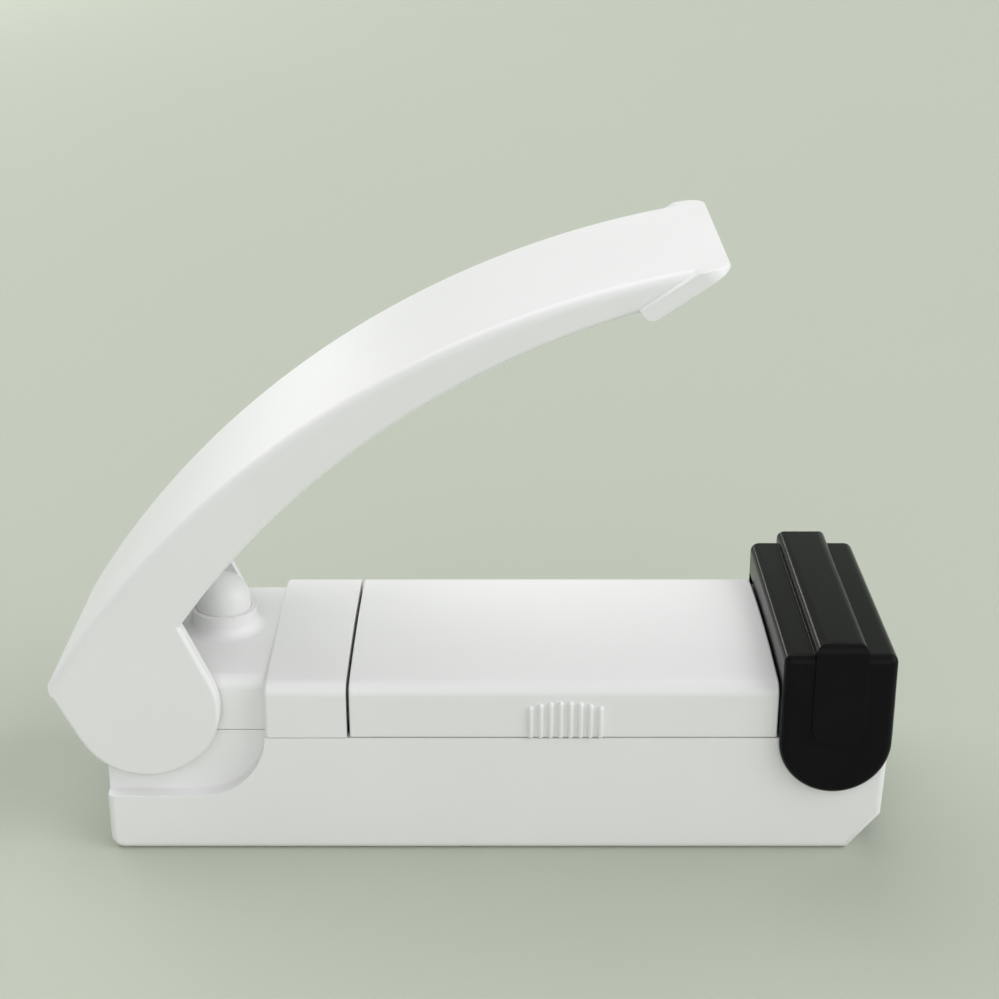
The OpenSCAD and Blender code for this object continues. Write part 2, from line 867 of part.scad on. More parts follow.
module heater_block() {
    head_front = x_front + 0.2;
    inner_half = inner_w / 2 - fit;
    foot_z = boss_split;
    color("black")
        difference() {
            union() {
                across(body_w)
                    soft_rect(head_x, upper_z, head_front, base_h + head_h, 0, 1.2);
                across(body_w)
                    soft_rect(pivot_x - bar_w / 2, base_h + 1, pivot_x + bar_w / 2, bar_z, 0, 0.4);
                rod(pivot_x, pivot_z, -half_w, half_w, 2 * ear_r);
                block([head_x, head_x + wall], [-inner_half, inner_half], [plate_z0, base_h + 2]);
                intersection() {
                    at_screws(head_screws)
                        translate([0, 0, foot_z])
                            cylinder(r = boss_r, h = head_roof - foot_z + touch);
                    block([head_x, x_front - wall - fit], [-inner_half, inner_half], [0, top_z]);
                }
            }
            difference() {
                block([head_x + wall, x_front - wall], [-inner_half + 0.4, inner_half - 0.4],
                      [-over, head_roof]);
                at_screws(head_screws)
                    translate([0, 0, foot_z - touch])
                        cylinder(r = boss_r, h = head_roof);
                both_sides()
                    rod(pivot_x, pivot_z, half_w - stub_l - 1, half_w, 2 * ear_r);
            }
            both_sides()
                rod(pivot_x, pivot_z, half_w - stub_l + cap_gap - fit, half_w + over,
                    stub_d + 2 * slide_fit);
            at_screws(head_screws)
                translate([0, 0, foot_z - over])
                    cylinder(d = screw_d + slide_fit, h = over + head_seat + screw_len - foot_z + 0.5);
            both_sides()
                translate([pivot_x, 0, 0]) {
                    block([-ribbon_w / 2 - fit, ribbon_w / 2 + fit],
                          [leg_y - ribbon_t / 2 - fit, leg_y + ribbon_t / 2 + fit],
                          [head_roof - over, top_z + over]);
                    post(0, lug_screw_y, head_roof - over, head_roof + 3.2, lug_screw_d + slide_fit);
                }
        }
}

// Ribbon along the bar, with both ends folded down through the head
module heater_strip() {
    ribbon_x = [pivot_x - ribbon_w / 2, pivot_x + ribbon_w / 2];
    color("silver") {
        block(ribbon_x, [-leg_y - ribbon_t / 2, leg_y + ribbon_t / 2], [ribbon_z, ribbon_z + ribbon_t]);
        both_sides()
            block(ribbon_x, [leg_y - ribbon_t / 2, leg_y + ribbon_t / 2],
                  [head_roof - leg_drop, ribbon_z + ribbon_t]);
    }
}

// Tape folded over the bar and the ribbon
module heater_tape() {
    half = bar_w / 2 + touch;
    color("tan")
        translate([pivot_x, 0, 0])
            across(body_w - 0.4)
                difference() {
                    soft_rect(-half - tape_t, base_h + head_h + touch, half + tape_t, tape_top, 0, 0.5);
                    soft_rect(-half, base_h, half, tape_top - tape_t, 0, 0.3);
                }
}

// Angled lugs under the head's roof that meet the ribbon's folded ends
module heater_terminals() {
    color("goldenrod")
        both_sides()
            translate([pivot_x, 0, 0])
                difference() {
                    union() {
                        block([-lug_w / 2, lug_w / 2], [lug_face - lug_l, lug_face],
                              [lug_z, lug_z + lug_t]);
                        block([-lug_w / 2, lug_w / 2], [lug_face - lug_t, lug_face],
                              [head_roof - leg_drop - over, lug_z + lug_t]);
                    }
                    post(0, lug_screw_y, lug_z - over, lug_z + 2 * over, lug_screw_d + 2 * slide_fit);
                }
}

module terminal_screws() {
    color("silver")
        both_sides()
            translate([pivot_x, 0, 0])
                difference() {
                    union() {
                        post(0, lug_screw_y, lug_z - lug_head_t, lug_z, lug_head_d);
                        post(0, lug_screw_y, lug_z - lug_head_t, head_roof + 3, lug_screw_d);
                    }
                    block([-lug_head_d, lug_head_d], [lug_screw_y - 0.25, lug_screw_y + 0.25],
                          [lug_z - 2 * lug_head_t, lug_z - lug_head_t / 2]);
                }
}

module arm_hinge_pin() {
    color("silver")
        on_hinge()
            rod(0, 0, -pin_l / 2, pin_l / 2, pin_d);
}

// Route of the return spring: a leg to the casing, the coils, and a leg to the arm
function return_route() =
    let (r = return_r, a0 = -45, a1 = 38 + 360 * return_turns, steps = 16 * return_turns,
         span = return_turns * return_pitch, arm_leg = 10,
         foot = (hinge_inset - wall - return_wire / 2 - touch + r * cos(a0)) / -sin(a0))
    [
        [r * cos(a0) + foot * sin(a0), -span / 2, r * sin(a0) - foot * cos(a0)],
        [r * cos(a0) + foot / 2 * sin(a0), -span / 2, r * sin(a0) - foot / 2 * cos(a0)],
        for (i = [0:steps])
            let (a = a0 + (a1 - a0) * i / steps)
            [r * cos(a), span * (i / steps - 0.5), r * sin(a)],
        [r * cos(a1) - arm_leg / 2 * sin(a1), span / 2, r * sin(a1) + arm_leg / 2 * cos(a1)],
        [r * cos(a1) - arm_leg * sin(a1), span / 2, r * sin(a1) + arm_leg * cos(a1)]
    ];

module arm_return_spring() {
    color("silver")
        on_hinge()
            tube(return_route(), return_wire);
}

module button() {
    color("whitesmoke")
        translate([button_x, 0, 0])
            union() {
                intersection() {
                    translate([0, 0, dome_z])
                        sphere(d = button_d);
                    post(0, 0, dome_z, dome_top + over, button_d + over);
                }
                post(0, 0, flange_z, dome_z, button_d);
                post(0, 0, flange_z, flange_z + flange_t, flange_d);
                post(0, 0, push_z, flange_z + touch, push_d);
            }
}

// Evenly wound spring between two heights, with flat coils at both ends
function coil_route(r0, r1, length, wire, turns) =
    let (steps = 16 * turns, rise = length - wire - 2 * touch)
    [for (i = [0:steps])
        let (a = 360 * turns * i / steps, u = i / steps, r = r0 + (r1 - r0) * u)
        [r * cos(a), r * sin(a), wire / 2 + touch + rise * u]];

function button_route() =
    let (r = push_d / 2 + 0.4 + button_wire / 2)
    coil_route(r, r, flange_z - switch_top, button_wire, 5);

function contact_route() = coil_route(5, 2.6, contact_l, contact_wire, 3);

module button_spring() {
    color("silver")
        translate([button_x, 0, switch_top])
            tube(button_route(), button_wire);
}

module switch_body() {
    color("dimgray")
        difference() {
            block([button_x - switch_l / 2, button_x + switch_l / 2], [-switch_w / 2, switch_w / 2],
                  [switch_z, switch_top]);
            for (s = [-1, 1])
                rod(button_x + s * switch_l / 4, switch_z + switch_h / 4, -switch_w, switch_w,
                    peg_d + 2 * slide_fit);
            post(button_x, 0, switch_top - 2, switch_top + over, plunger_d + 2 * slide_fit);
        }
}

module switch_plunger() {
    color("firebrick")
        post(button_x, 0, switch_top - 2 + touch, switch_top + plunger_h, plunger_d);
}

module battery_tray() {
    color("gainsboro")
        difference() {
            block([casing_x + contact_t + fit, head_x - contact_t - fit],
                  [-inner_w / 2 + fit, inner_w / 2 - fit], [tray_z, tray_top]);
            both_sides()
                translate([casing_x - over, cell_y, cell_z])
                    rotate([0, 90, 0])
                        cylinder(r = cell_bed_r, h = compartment_l + 2 * over);
        }
}

// Cell with its stud towards +X or, turned round, towards -X
module cell(y, x, turned) {
    translate([x, y, cell_z])
        rotate([0, turned ? -90 : 90, 0]) {
            cylinder(d = cell_d, h = cell_l - stud_l);
            cylinder(d = stud_d, h = cell_l);
        }
}

module cell_left() {
    color("steelblue")
        cell(cell_y, casing_x + contact_t + contact_l, false);
}

module cell_right() {
    color("steelblue")
        cell(-cell_y, head_x - contact_t - contact_l, true);
}

module contact_plate(x, y0, y1) {
    block([x, x + contact_t], [y0, y1], [plate_z0, plate_z1]);
}

// Rear contact with a tail under the tray for its lead
module tailed_contact() {
    contact_plate(casing_x, cell_y - plate_w / 2, cell_y + plate_w / 2);
    block([casing_x, casing_x + contact_t], [tail_y - 1.5, tail_y + 1.5], [tail_z - 1, plate_z0 + over]);
}

module negative_contact() {
    color("silver")
        tailed_contact();
}

module positive_contact() {
    color("silver")
        mirror([0, 1, 0])
            tailed_contact();
}

module bridge_contact() {
    color("silver")
        contact_plate(head_x - contact_t, -cell_y - plate_w / 2, cell_y + plate_w / 2);
}

module contact_springs() {
    color("silver") {
        translate([casing_x + contact_t, cell_y, cell_z])
            rotate([0, 90, 0])
                tube(contact_route(), contact_wire);
        translate([head_x - contact_t, -cell_y, cell_z])
            rotate([0, -90, 0])
                tube(contact_route(), contact_wire);
    }
}

module switch_blades() {
    color("goldenrod")
        both_sides()
            block([blade_x, blade_x + blade_l], [blade_y - blade_t / 2, blade_y + blade_t / 2],
                  [blade_z - 1, blade_z + 1]);
}

// Rounds the corners of a route by cutting them twice
function cut_corners(p) = [
    p[0],
    for (i = [0:len(p) - 2]) each [0.75 * p[i] + 0.25 * p[i + 1], 0.25 * p[i] + 0.75 * p[i + 1]],
    p[len(p) - 1]
];

module lead(route) {
    tube(cut_corners(cut_corners(route)), lead_d, 8);
}

// From the positive contact's tail to the switch
module red_lead() {
    side = -blade_y - blade_t / 2 - lead_d / 2 - touch;
    color("red")
        lead([
            [casing_x - touch, -tail_y, tail_z],
            [casing_x - 4, -tail_y, tail_z],
            [blade_x + blade_l + 3, side, blade_z],
            [blade_x + 0.5, side, blade_z]
        ]);
}

// From the switch along the floor to the right terminal
module link_lead() {
    side = blade_y + blade_t / 2 + lead_d / 2 + touch;
    color("red")
        lead([
            [blade_x + 0.5, side, blade_z],
            [blade_x + blade_l + 2, side, blade_z],
            [casing_x - 5, 0, run_z],
            [head_x, 0, run_z],
            [head_x + 3, -head_screw_y, run_z + 1],
            [head_x + 3.4, lug_lead_y, run_z + 5],
            [pivot_x, lug_lead_y, lug_lead_z - 5],
            [pivot_x, lug_lead_y, lug_lead_z]
        ]);
}

// From the negative contact's tail along the floor to the left terminal
module black_lead() {
    color("dimgray")
        lead([
            [casing_x + contact_t + touch, tail_y, tail_z],
            [casing_x + contact_t + 3, tail_y, tail_z],
            [casing_x + 7, tail_y, run_z],
            [head_x - 2, tail_y, run_z],
            [head_x + 3, head_screw_y + 3.4, run_z + 1],
            [head_x + 3.4, -lug_lead_y, run_z + 5],
            [pivot_x, -lug_lead_y, lug_lead_z - 5],
            [pivot_x, -lug_lead_y, lug_lead_z]
        ]);
}

module case_screws() {
    color("silver")
        at_screws()
            translate([0, 0, head_seat - screw_head_t])
                difference() {
                    union() {
                        cylinder(d = screw_head_d, h = screw_head_t);
                        cylinder(d = screw_d, h = screw_head_t + screw_len);
                    }
                    for (a = [0, 90])
                        rotate([0, 0, a])
                            block([-1.3, 1.3], [-0.3, 0.3], [-over, 0.8]);
                }
}

echo(return_spring_gap = least_gap(return_route(), return_wire));
echo(button_spring_gap = least_gap(button_route(), button_wire));
echo(contact_spring_gap = least_gap(contact_route(), contact_wire));
echo(closing_angle_of_the_arm = close_angle);

base_shell();
rear_casing();
battery_cover();
arm();
jaw_pad();
safety_cap();
heater_block();
heater_strip();
heater_tape();
heater_terminals();
terminal_screws();
arm_hinge_pin();
arm_return_spring();
button();
button_spring();
switch_body();
switch_plunger();
switch_blades();
battery_tray();
cell_left();
cell_right();
negative_contact();
positive_contact();
bridge_contact();
contact_springs();
red_lead();
link_lead();
black_lead();
case_screws();
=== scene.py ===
"""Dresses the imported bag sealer: moulded shells, springs, leads, finishes, stage and camera."""
import json
import math
from contextlib import contextmanager

import bmesh
import bpy
from bpy.props import FloatProperty, FloatVectorProperty, IntProperty, PointerProperty
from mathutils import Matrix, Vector


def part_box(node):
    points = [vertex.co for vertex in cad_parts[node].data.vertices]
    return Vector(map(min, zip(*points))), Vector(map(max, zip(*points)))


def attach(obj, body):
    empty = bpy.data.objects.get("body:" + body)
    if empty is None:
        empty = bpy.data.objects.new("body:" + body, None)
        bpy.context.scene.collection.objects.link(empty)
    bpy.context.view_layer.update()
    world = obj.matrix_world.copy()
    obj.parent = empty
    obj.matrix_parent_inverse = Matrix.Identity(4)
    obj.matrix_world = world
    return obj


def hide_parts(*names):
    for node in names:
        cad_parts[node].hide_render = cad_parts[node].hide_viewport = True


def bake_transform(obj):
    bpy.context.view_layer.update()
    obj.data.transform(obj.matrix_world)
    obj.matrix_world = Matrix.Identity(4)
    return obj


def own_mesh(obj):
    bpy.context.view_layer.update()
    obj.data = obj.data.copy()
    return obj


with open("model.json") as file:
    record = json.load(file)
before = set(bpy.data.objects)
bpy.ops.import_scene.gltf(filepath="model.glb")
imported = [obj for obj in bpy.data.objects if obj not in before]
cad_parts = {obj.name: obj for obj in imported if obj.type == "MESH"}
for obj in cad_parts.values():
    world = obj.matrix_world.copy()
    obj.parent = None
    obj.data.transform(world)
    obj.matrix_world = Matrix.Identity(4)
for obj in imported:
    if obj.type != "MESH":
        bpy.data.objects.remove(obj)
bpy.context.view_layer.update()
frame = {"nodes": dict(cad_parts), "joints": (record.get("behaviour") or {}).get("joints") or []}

bl_info = {
    "name": "Bag sealer dressing",
    "version": (1, 0, 0),
    "blender": (4, 5, 0),
    "location": "View3D > Sidebar > Sealer",
    "description": "Models the visible pieces of a handheld bag sealer around its packed frame",
    "category": "Object",
}

MM = 0.001
CLOSE = 1e-6  # Places nearer than this are the same
FAR = 6 * MM  # How far a cutter reaches past what it cuts

# Places and planes of the frame
PLACES = {joint["name"]: Vector(joint["pos_m"]) for joint in frame["joints"] if "pos_m" in joint}
HINGE = PLACES["arm_hinge"]
PIVOT = PLACES["cap_flip"]
BASE_LOW, BASE_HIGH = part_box("base_shell")
COVER_LOW, COVER_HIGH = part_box("battery_cover")
HEAD_LOW, HEAD_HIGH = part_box("heater_block")
BUTTON_LOW, BUTTON_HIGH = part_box("button")
CASING_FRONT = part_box("rear_casing")[1].x
BUTTON_X = (BUTTON_LOW.x + BUTTON_HIGH.x) / 2
REAR, HALF, BASE_TOP = BASE_LOW.x, BASE_HIGH.y, BASE_HIGH.z
ROOF_Z = COVER_HIGH.z
SEAM_Z = BASE_TOP + 0.12 * MM
NECK_X = -29.9 * MM
NECK_HALF = 14.7 * MM
NECK_TOP = ROOF_Z - 0.2 * MM
BUTTON_RADIUS = 3.65 * MM
SCREW_OUT = 10.5 * MM
HEAD_SCREW_OUT = 5 * MM


def length(name, default, description):
    """A settable length in metres."""
    return FloatProperty(
        name=name, description=description, default=default, unit="LENGTH", precision=5)


def tint(name, default, description):
    """A settable colour."""
    return FloatVectorProperty(
        name=name, description=description, default=default, subtype="COLOR", min=0, max=1)


class ShellSizes(bpy.types.PropertyGroup):
    """Sizes of the white casing"""
    wall: length("Wall", 1.6 * MM, "Thickness of the casing's walls")
    edge: length("Edge", 0.25 * MM, "Rounding of the casing's small edges")
    bottom: length("Bottom edge", 1.0 * MM, "Rounding of the base's lower and upright edges")
    heel: length("Rear corner", 1.8 * MM, "Radius of the base's lower rear corner")
    nose_length: length("Nose length", 4.6 * MM, "Length of the slope under the nose")
    nose_height: length("Nose height", 5.1 * MM, "Height of the slope under the nose")
    nose_lean: length("Nose lean", 0.4 * MM, "How far the nose leans forward over its height")
    ledge: length("Ledge", 8.0 * MM, "Height of the ledge under the lever's cheeks")
    recess: length("Recess corner", 9.0 * MM, "Radius in the front corner of the cheek recess")
    crown: length("Crown", 0.8 * MM, "Rise of the roof's middle over its sides")
    shoulder: length("Shoulder", 1.8 * MM, "Radius between the roof and the sides")
    neck_back: length("Neck back", 3.0 * MM, "Radius at the top of the neck's rear end")
    step: length("Step", 0.6 * MM, "Rounding of the step from the casing down to the neck")
    collar: length("Collar", 0.75 * MM, "Thickness of the collar round the button")
    collar_height: length("Collar height", 2.8 * MM, "Height of the collar over the neck")
    collar_foot: length("Collar foot", 1.4 * MM, "Radius of the flare at the collar's foot")
    rib_width: length("Rib width", 0.82 * MM, "Width of one grip rib")
    rib_proud: length("Rib height", 0.5 * MM, "How far a grip rib stands out of the cover")
    rib_pitch: length("Rib pitch", 1.28 * MM, "Distance between the grip ribs")
    rib_low: length("Outer rib", 4.6 * MM, "Height of the outermost grip ribs")
    rib_high: length("Middle rib", 5.3 * MM, "Height of the middle grip ribs")
    ribs: IntProperty(name="Ribs", description="Number of grip ribs on each side", default=8, min=5, max=9)


class LeverSizes(bpy.types.PropertyGroup):
    """Sizes of the pressing lever"""
    open_angle: FloatProperty(
        name="Open angle", description="Angle of the open lever over its sealing position",
        default=math.radians(34.2), subtype="ANGLE")
    width: length("Width", 33.6 * MM, "Width of the lever over its sides")
    top_radius: length("Top radius", 122.4 * MM, "Radius of the lever's back")
    low_radius: length("Lower radius", 107.8 * MM, "Radius of the lever's lower edge")
    skin: length("Skin", 1.8 * MM, "Thickness of the lever's back")
    cheek: length("Cheek", 1.9 * MM, "Thickness of the lever's sides")
    back_edge: length("Back edge", 1.3 * MM, "Rounding of the edges along the lever's back")
    side_edge: length("Side edge", 0.6 * MM, "Rounding of the lower edges of the lever's sides")
    edge: length("Small edge", 0.25 * MM, "Rounding of the lever's small edges")
    cheek_radius: length("Cheek radius", 9.4 * MM, "Radius of the round cheeks at the hinge")
    jaw_width: length("Jaw width", 36 * MM, "Width of the jaw plate")
    jaw_length: length("Jaw length", 11.7 * MM, "Length of the jaw plate")
    jaw_height: length("Jaw thickness", 2.1 * MM, "Thickness of the jaw plate")
    jaw_edge: length("Jaw edge", 0.45 * MM, "Rounding of the jaw plate's edges")
    jaw_corner: length("Jaw corner", 3.0 * MM, "Radius of the jaw plate's front corners")
    jaw_heel: length("Jaw heel", 1.2 * MM, "Radius of the jaw plate's lower rear edge")
    pad_width: length("Pad width", 4.0 * MM, "Width of the silicone pad")
    pad_proud: length("Pad height", 1.0 * MM, "How far the pad stands out of the jaw")


class CapSizes(bpy.types.PropertyGroup):
    """Sizes of the black cap"""
    radius: length("Radius", 7.25 * MM, "Radius of the cap's round cheeks")
    height: length("Height", 12.2 * MM, "Height of the cap's roof over its pivot")
    drop: length("Drop", 0.4 * MM, "How far the round cheeks hang below the pivot's circle")
    ridge_height: length("Ridge height", 14.0 * MM, "Height of the middle ridge over the pivot")
    ridge_width: length("Ridge width", 6.8 * MM, "Width of the middle ridge")
    ridge_foot: length("Ridge foot", 0.2 * MM, "How far the ridge runs below the pivot")
    ridge_proud: length("Ridge on cheeks", 0.3 * MM, "How far the ridge stands out of the cheeks")
    wall: length("Wall", 1.1 * MM, "Thickness of the cap's roof and skirts")
    cheek: length("Cheek", 1.5 * MM, "Thickness of the cap's cheeks")
    skirt: length("Skirt", 4.5 * MM, "Height of the cap's front and rear skirts")
    corner: length("Corner", 1.2 * MM, "Rounding of the cap's upper corners")
    edge: length("Edge", 0.13 * MM, "Rounding of the cap's small edges")


class FinishColours(bpy.types.PropertyGroup):
    """Colours of the finishes"""
    white: tint("White", (0.86, 0.86, 0.865), "Satin white moulding")
    black: tint("Black", (0.006, 0.006, 0.0065), "Polished black moulding")
    soot: tint("Matt black", (0.022, 0.022, 0.023), "Matt black moulding")
    rubber: tint("Silicone", (0.52, 0.52, 0.5), "Silicone of the jaw's pad")
    cloth: tint("Tape", (0.42, 0.27, 0.12), "Coated glass cloth over the heating ribbon")
    steel: tint("Steel", (0.62, 0.62, 0.63), "Steel and nickel")
    brass: tint("Brass", (0.72, 0.53, 0.2), "Brass terminals")
    red: tint("Red", (0.5, 0.03, 0.02), "Red insulation")
    sleeve: tint("Cell sleeve", (0.1, 0.2, 0.38), "Plain sleeve of the cells")


class StageLook(bpy.types.PropertyGroup):
    """Floor, light and camera"""
    floor: tint("Floor", (0.49, 0.53, 0.45), "Plain pale floor")
    key: FloatProperty(name="Key", description="Strength of the three broad lights", default=1.0, min=0)
    sky: FloatProperty(name="Sky", description="Strength of the even light", default=0.4, min=0)
    camera_place: FloatVectorProperty(
        name="Camera", description="Place of the camera", default=(0.0004, -0.2364, 0.1385),
        subtype="TRANSLATION", unit="LENGTH", precision=5)
    camera_pitch: FloatProperty(
        name="Pitch", description="How far the camera looks down", default=math.radians(22), subtype="ANGLE")
    lens: FloatProperty(name="Lens", description="Focal length in millimetres", default=69.57, unit="CAMERA")


# Outlines


def arc(centre, radius, start, end, steps):
    """Points on an arc between two angles in degrees."""
    turns = [math.radians(start + (end - start) * i / steps) for i in range(steps + 1)]
    return [(centre[0] + radius * math.cos(t), centre[1] + radius * math.sin(t)) for t in turns]


def soft_box(x0, z0, x1, z1, low=0, high=0, steps=6):
    """A rectangle with its own radius at the lower and at the upper corners."""
    corners = [((x0 + low, z0 + low), low, 180), ((x1 - low, z0 + low), low, 270),
               ((x1 - high, z1 - high), high, 0), ((x0 + high, z1 - high), high, 90)]
    points = []
    for centre, radius, start in corners:
        points += arc(centre, radius, start, start + 90, steps) if radius else [centre]
    return points


def roof(half, top, radius, crown, low):
    """Cross section of a crowned roof with round shoulders, down to a level edge."""
    big = (half * half + crown * crown) / (2 * crown)
    middle = top - big
    centre = (half - radius, middle + math.sqrt((big - radius) ** 2 - (half - radius) ** 2))
    turn = math.degrees(math.atan2(centre[1] - middle, centre[0]))
    right = arc(centre, radius, 0, turn, 8) + arc((0, middle), big, turn, 90, 8)[1:]
    left = [(-y, z) for y, z in reversed(right[:-1])]
    return [(half, low)] + right + left + [(-half, low)]


def shell_section(s, half, top):
    """Cross section of a white shell's outside, down to the seam."""
    return roof(half, top, s.shoulder, s.crown, SEAM_Z)


def room_section(s, half, top, wall):
    """Cross section of the room inside such a shell."""
    return roof(half - wall, top - wall, s.shoulder / 2, s.crown, -FAR)


def both_sides(inner, outer):
    """A span across the body, on the left and on the right."""
    return (inner, outer), (-outer, -inner)


def arc_middle(p, q, radius):
    """Centre of an arc that bulges upwards from p to q."""
    run = (q - p) / 2
    side = Vector((run.y, -run.x)).normalized()
    return p + run + side * math.sqrt(radius * radius - run.length_squared)


def bearing(centre, point):
    """Angle of a point seen from a centre, in degrees."""
    return math.degrees(math.atan2(point[1] - centre[1], point[0] - centre[0]))


def tangent_angle(point, radius, side):
    """Angle at which a tangent from a point meets a circle round the origin, in degrees."""
    return bearing((0, 0), point) + side * math.degrees(math.acos(radius / Vector(point).length))


# Modelling


def deselect():
    """Leaves edit mode and selects nothing."""
    if bpy.context.object and bpy.context.object.mode != "OBJECT":
        bpy.ops.object.mode_set(mode="OBJECT")
    bpy.ops.object.select_all(action="DESELECT")


def take(piece):
    """Makes one piece the only selected one."""
    deselect()
    piece.select_set(True)
    bpy.context.view_layer.objects.active = piece


@contextmanager
def editing(piece):
    """Edits one piece, with all of it selected at first."""
    take(piece)
    bpy.ops.object.mode_set(mode="EDIT")
    bpy.ops.mesh.select_all(action="SELECT")
    yield
    bpy.ops.object.mode_set(mode="OBJECT")


def drawn(name, points, fill=True):
    """Draws an outline corner by corner from a plane that is merged to one point, and stays in edit mode."""
    deselect()
    bpy.ops.mesh.primitive_plane_add(size=MM)
    piece = bpy.context.object
    piece.name = piece.data.name = name
    bpy.ops.object.mode_set(mode="EDIT")
    bpy.ops.mesh.select_mode(type="VERT")
    bpy.ops.mesh.select_all(action="SELECT")
    bpy.ops.mesh.merge(type="CENTER")
    bpy.ops.transform.translate(value=points[0])
    for before, after in zip(points, points[1:]):
        bpy.ops.mesh.extrude_vertices_move(TRANSFORM_OT_translate={"value": after - before})
    bpy.ops.mesh.select_all(action="SELECT")
    if fill:
        bpy.ops.mesh.edge_face_add()
    return piece


def face_out():
    """Turns the faces of the piece in edit mode outwards, and leaves edit mode."""
    bpy.ops.mesh.select_all(action="SELECT")
    bpy.ops.mesh.normals_make_consistent(inside=False)
    bpy.ops.object.mode_set(mode="OBJECT")


def prism(name, points, reach):
    """Extrudes a filled outline."""
    piece = drawn(name, points)
    bpy.ops.mesh.extrude_region_move(TRANSFORM_OT_translate={"value": reach})
    face_out()
    return piece


def across(name, outline, low, high=None):
    """A side view extruded across the body, from -low to low or between two places."""
    low, high = (-low, low) if high is None else (low, high)
    return prism(name, [Vector((x, low, z)) for x, z in outline], Vector((0, high - low, 0)))


def along(name, section, x0, x1):
    """A cross section extruded along the body."""
    return prism(name, [Vector((x0, y, z)) for y, z in section], Vector((x1 - x0, 0, 0)))


def block(name, x, y, z):
    """A box between pairs of planes."""
    return across(name, soft_box(x[0], z[0], x[1], z[1]), *y)


def rod(name, place, y, radius, steps=48):
    """A round bar across the body."""
    return across(name, arc((place.x, place.z), radius, 0, 360, steps)[:-1], *y)


def post(name, x, y, z, radius, steps=64):
    """An upright round bar."""
    ring = [Vector((px, py, z[0])) for px, py in arc((x, y), radius, 0, 360, steps)[:-1]]
    return prism(name, ring, Vector((0, 0, z[1] - z[0])))


def spun(name, profile, x, y, steps=64):
    """A profile of radii and heights, spun round an upright axis."""
    piece = drawn(name, [Vector((x + r, y, z)) for r, z in profile], fill=False)
    bpy.ops.mesh.spin(steps=steps, angle=2 * math.pi, center=(x, y, 0), axis=(0, 0, 1))
    bpy.ops.mesh.select_all(action="SELECT")
    bpy.ops.mesh.remove_doubles(threshold=CLOSE)
    face_out()
    return piece


def soften(piece, width, steps, test):
    """Rounds the sharp edges whose two ends pass a test."""
    with editing(piece):
        bpy.ops.mesh.select_mode(type="EDGE")
        bpy.ops.mesh.select_all(action="DESELECT")
        mesh = bmesh.from_edit_mesh(piece.data)
        for edge in mesh.edges:
            sharp = edge.calc_face_angle(0) > math.radians(30)
            edge.select_set(sharp and test(edge.verts[0].co, edge.verts[1].co))
        bmesh.update_edit_mesh(piece.data)
        bpy.ops.mesh.bevel(offset=width, segments=steps, affect="EDGES", profile=0.5)
        bpy.ops.mesh.select_all(action="SELECT")
        bpy.ops.mesh.remove_doubles(threshold=CLOSE)


def on_sides(half):
    """Tests that an edge lies in one of the two planes at half a width."""
    return lambda a, b: abs(abs(a.y) - half) < CLOSE and abs(a.y - b.y) < CLOSE


def modify(piece, kind, **settings):
    """Adds one modifier to a piece and applies it."""
    take(piece)
    bpy.ops.object.modifier_add(type=kind)
    modifier = piece.modifiers[-1]
    for name, value in settings.items():
        setattr(modifier, name, value)
    bpy.ops.object.modifier_apply(modifier=modifier.name)


def combine(piece, other, operation):
    """Cuts a piece with another, or joins or meets them, and drops the other."""
    modify(piece, "BOOLEAN", operation=operation, solver="EXACT", object=other)
    mesh = other.data
    bpy.data.objects.remove(other)
    bpy.data.meshes.remove(mesh)


def cut(piece, *others):
    """Cuts other shapes out of a piece."""
    for other in others:
        combine(piece, other, "DIFFERENCE")


def join(piece, *others):
    """Joins other shapes to a piece."""
    for other in others:
        combine(piece, other, "UNION")


def clean(piece):
    """Merges doubled points and the flat faces that cuts leave."""
    with editing(piece):
        bpy.ops.mesh.remove_doubles(threshold=2 * CLOSE)
        bpy.ops.mesh.dissolve_limited(angle_limit=math.radians(0.4))


def round_edges(piece, width, steps=3):
    """Rounds every sharp edge and shades the piece smooth."""
    clean(piece)
    modify(piece, "BEVEL", width=width, segments=steps, limit_method="ANGLE", angle_limit=math.radians(32),
           use_clamp_overlap=True, miter_outer="MITER_ARC")
    shade(piece)


def shade(piece):
    """Smooth shading with flat faces kept flat."""
    take(piece)
    bpy.ops.object.shade_smooth_by_angle(angle=math.radians(40))
    modify(piece, "WEIGHTED_NORMAL", keep_sharp=True, weight=80)


def wire(name, route, diameter, sides=12):
    """A round wire along a route, made a mesh."""
    deselect()
    curve = bpy.data.curves.new(name, "CURVE")
    curve.dimensions = "3D"
    curve.bevel_depth = diameter / 2
    curve.bevel_resolution = sides // 4 - 1
    curve.use_fill_caps = True
    spline = curve.splines.new("POLY")
    spline.points.add(len(route) - 1)
    for point, place in zip(spline.points, route):
        point.co = (*place, 1)
    piece = bpy.data.objects.new(name, curve)
    bpy.context.scene.collection.objects.link(piece)
    take(piece)
    bpy.ops.object.convert(target="MESH")
    piece = bpy.context.object
    piece.data.name = name
    with editing(piece):
        bpy.ops.mesh.remove_doubles(threshold=CLOSE)
    bpy.ops.object.shade_smooth_by_angle(angle=math.radians(50))
    return piece


def cut_corners(route):
    """Rounds a route's corners by cutting each of them."""
    inner = []
    for p, q in zip(route, route[1:]):
        inner += [p * 0.75 + q * 0.25, p * 0.25 + q * 0.75]
    return [route[0]] + inner + [route[-1]]


def settle(piece, body, finish, slot, *nodes):
    """Gives a finished piece its finish and its body if it follows just one, and hides the nodes it stands
    for.
    """
    piece.data.materials.clear()
    piece.data.materials.append(finishes()[finish])
    if body:
        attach(piece, body)
    if nodes:
        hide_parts(*nodes)
    deselect()


# Finishes


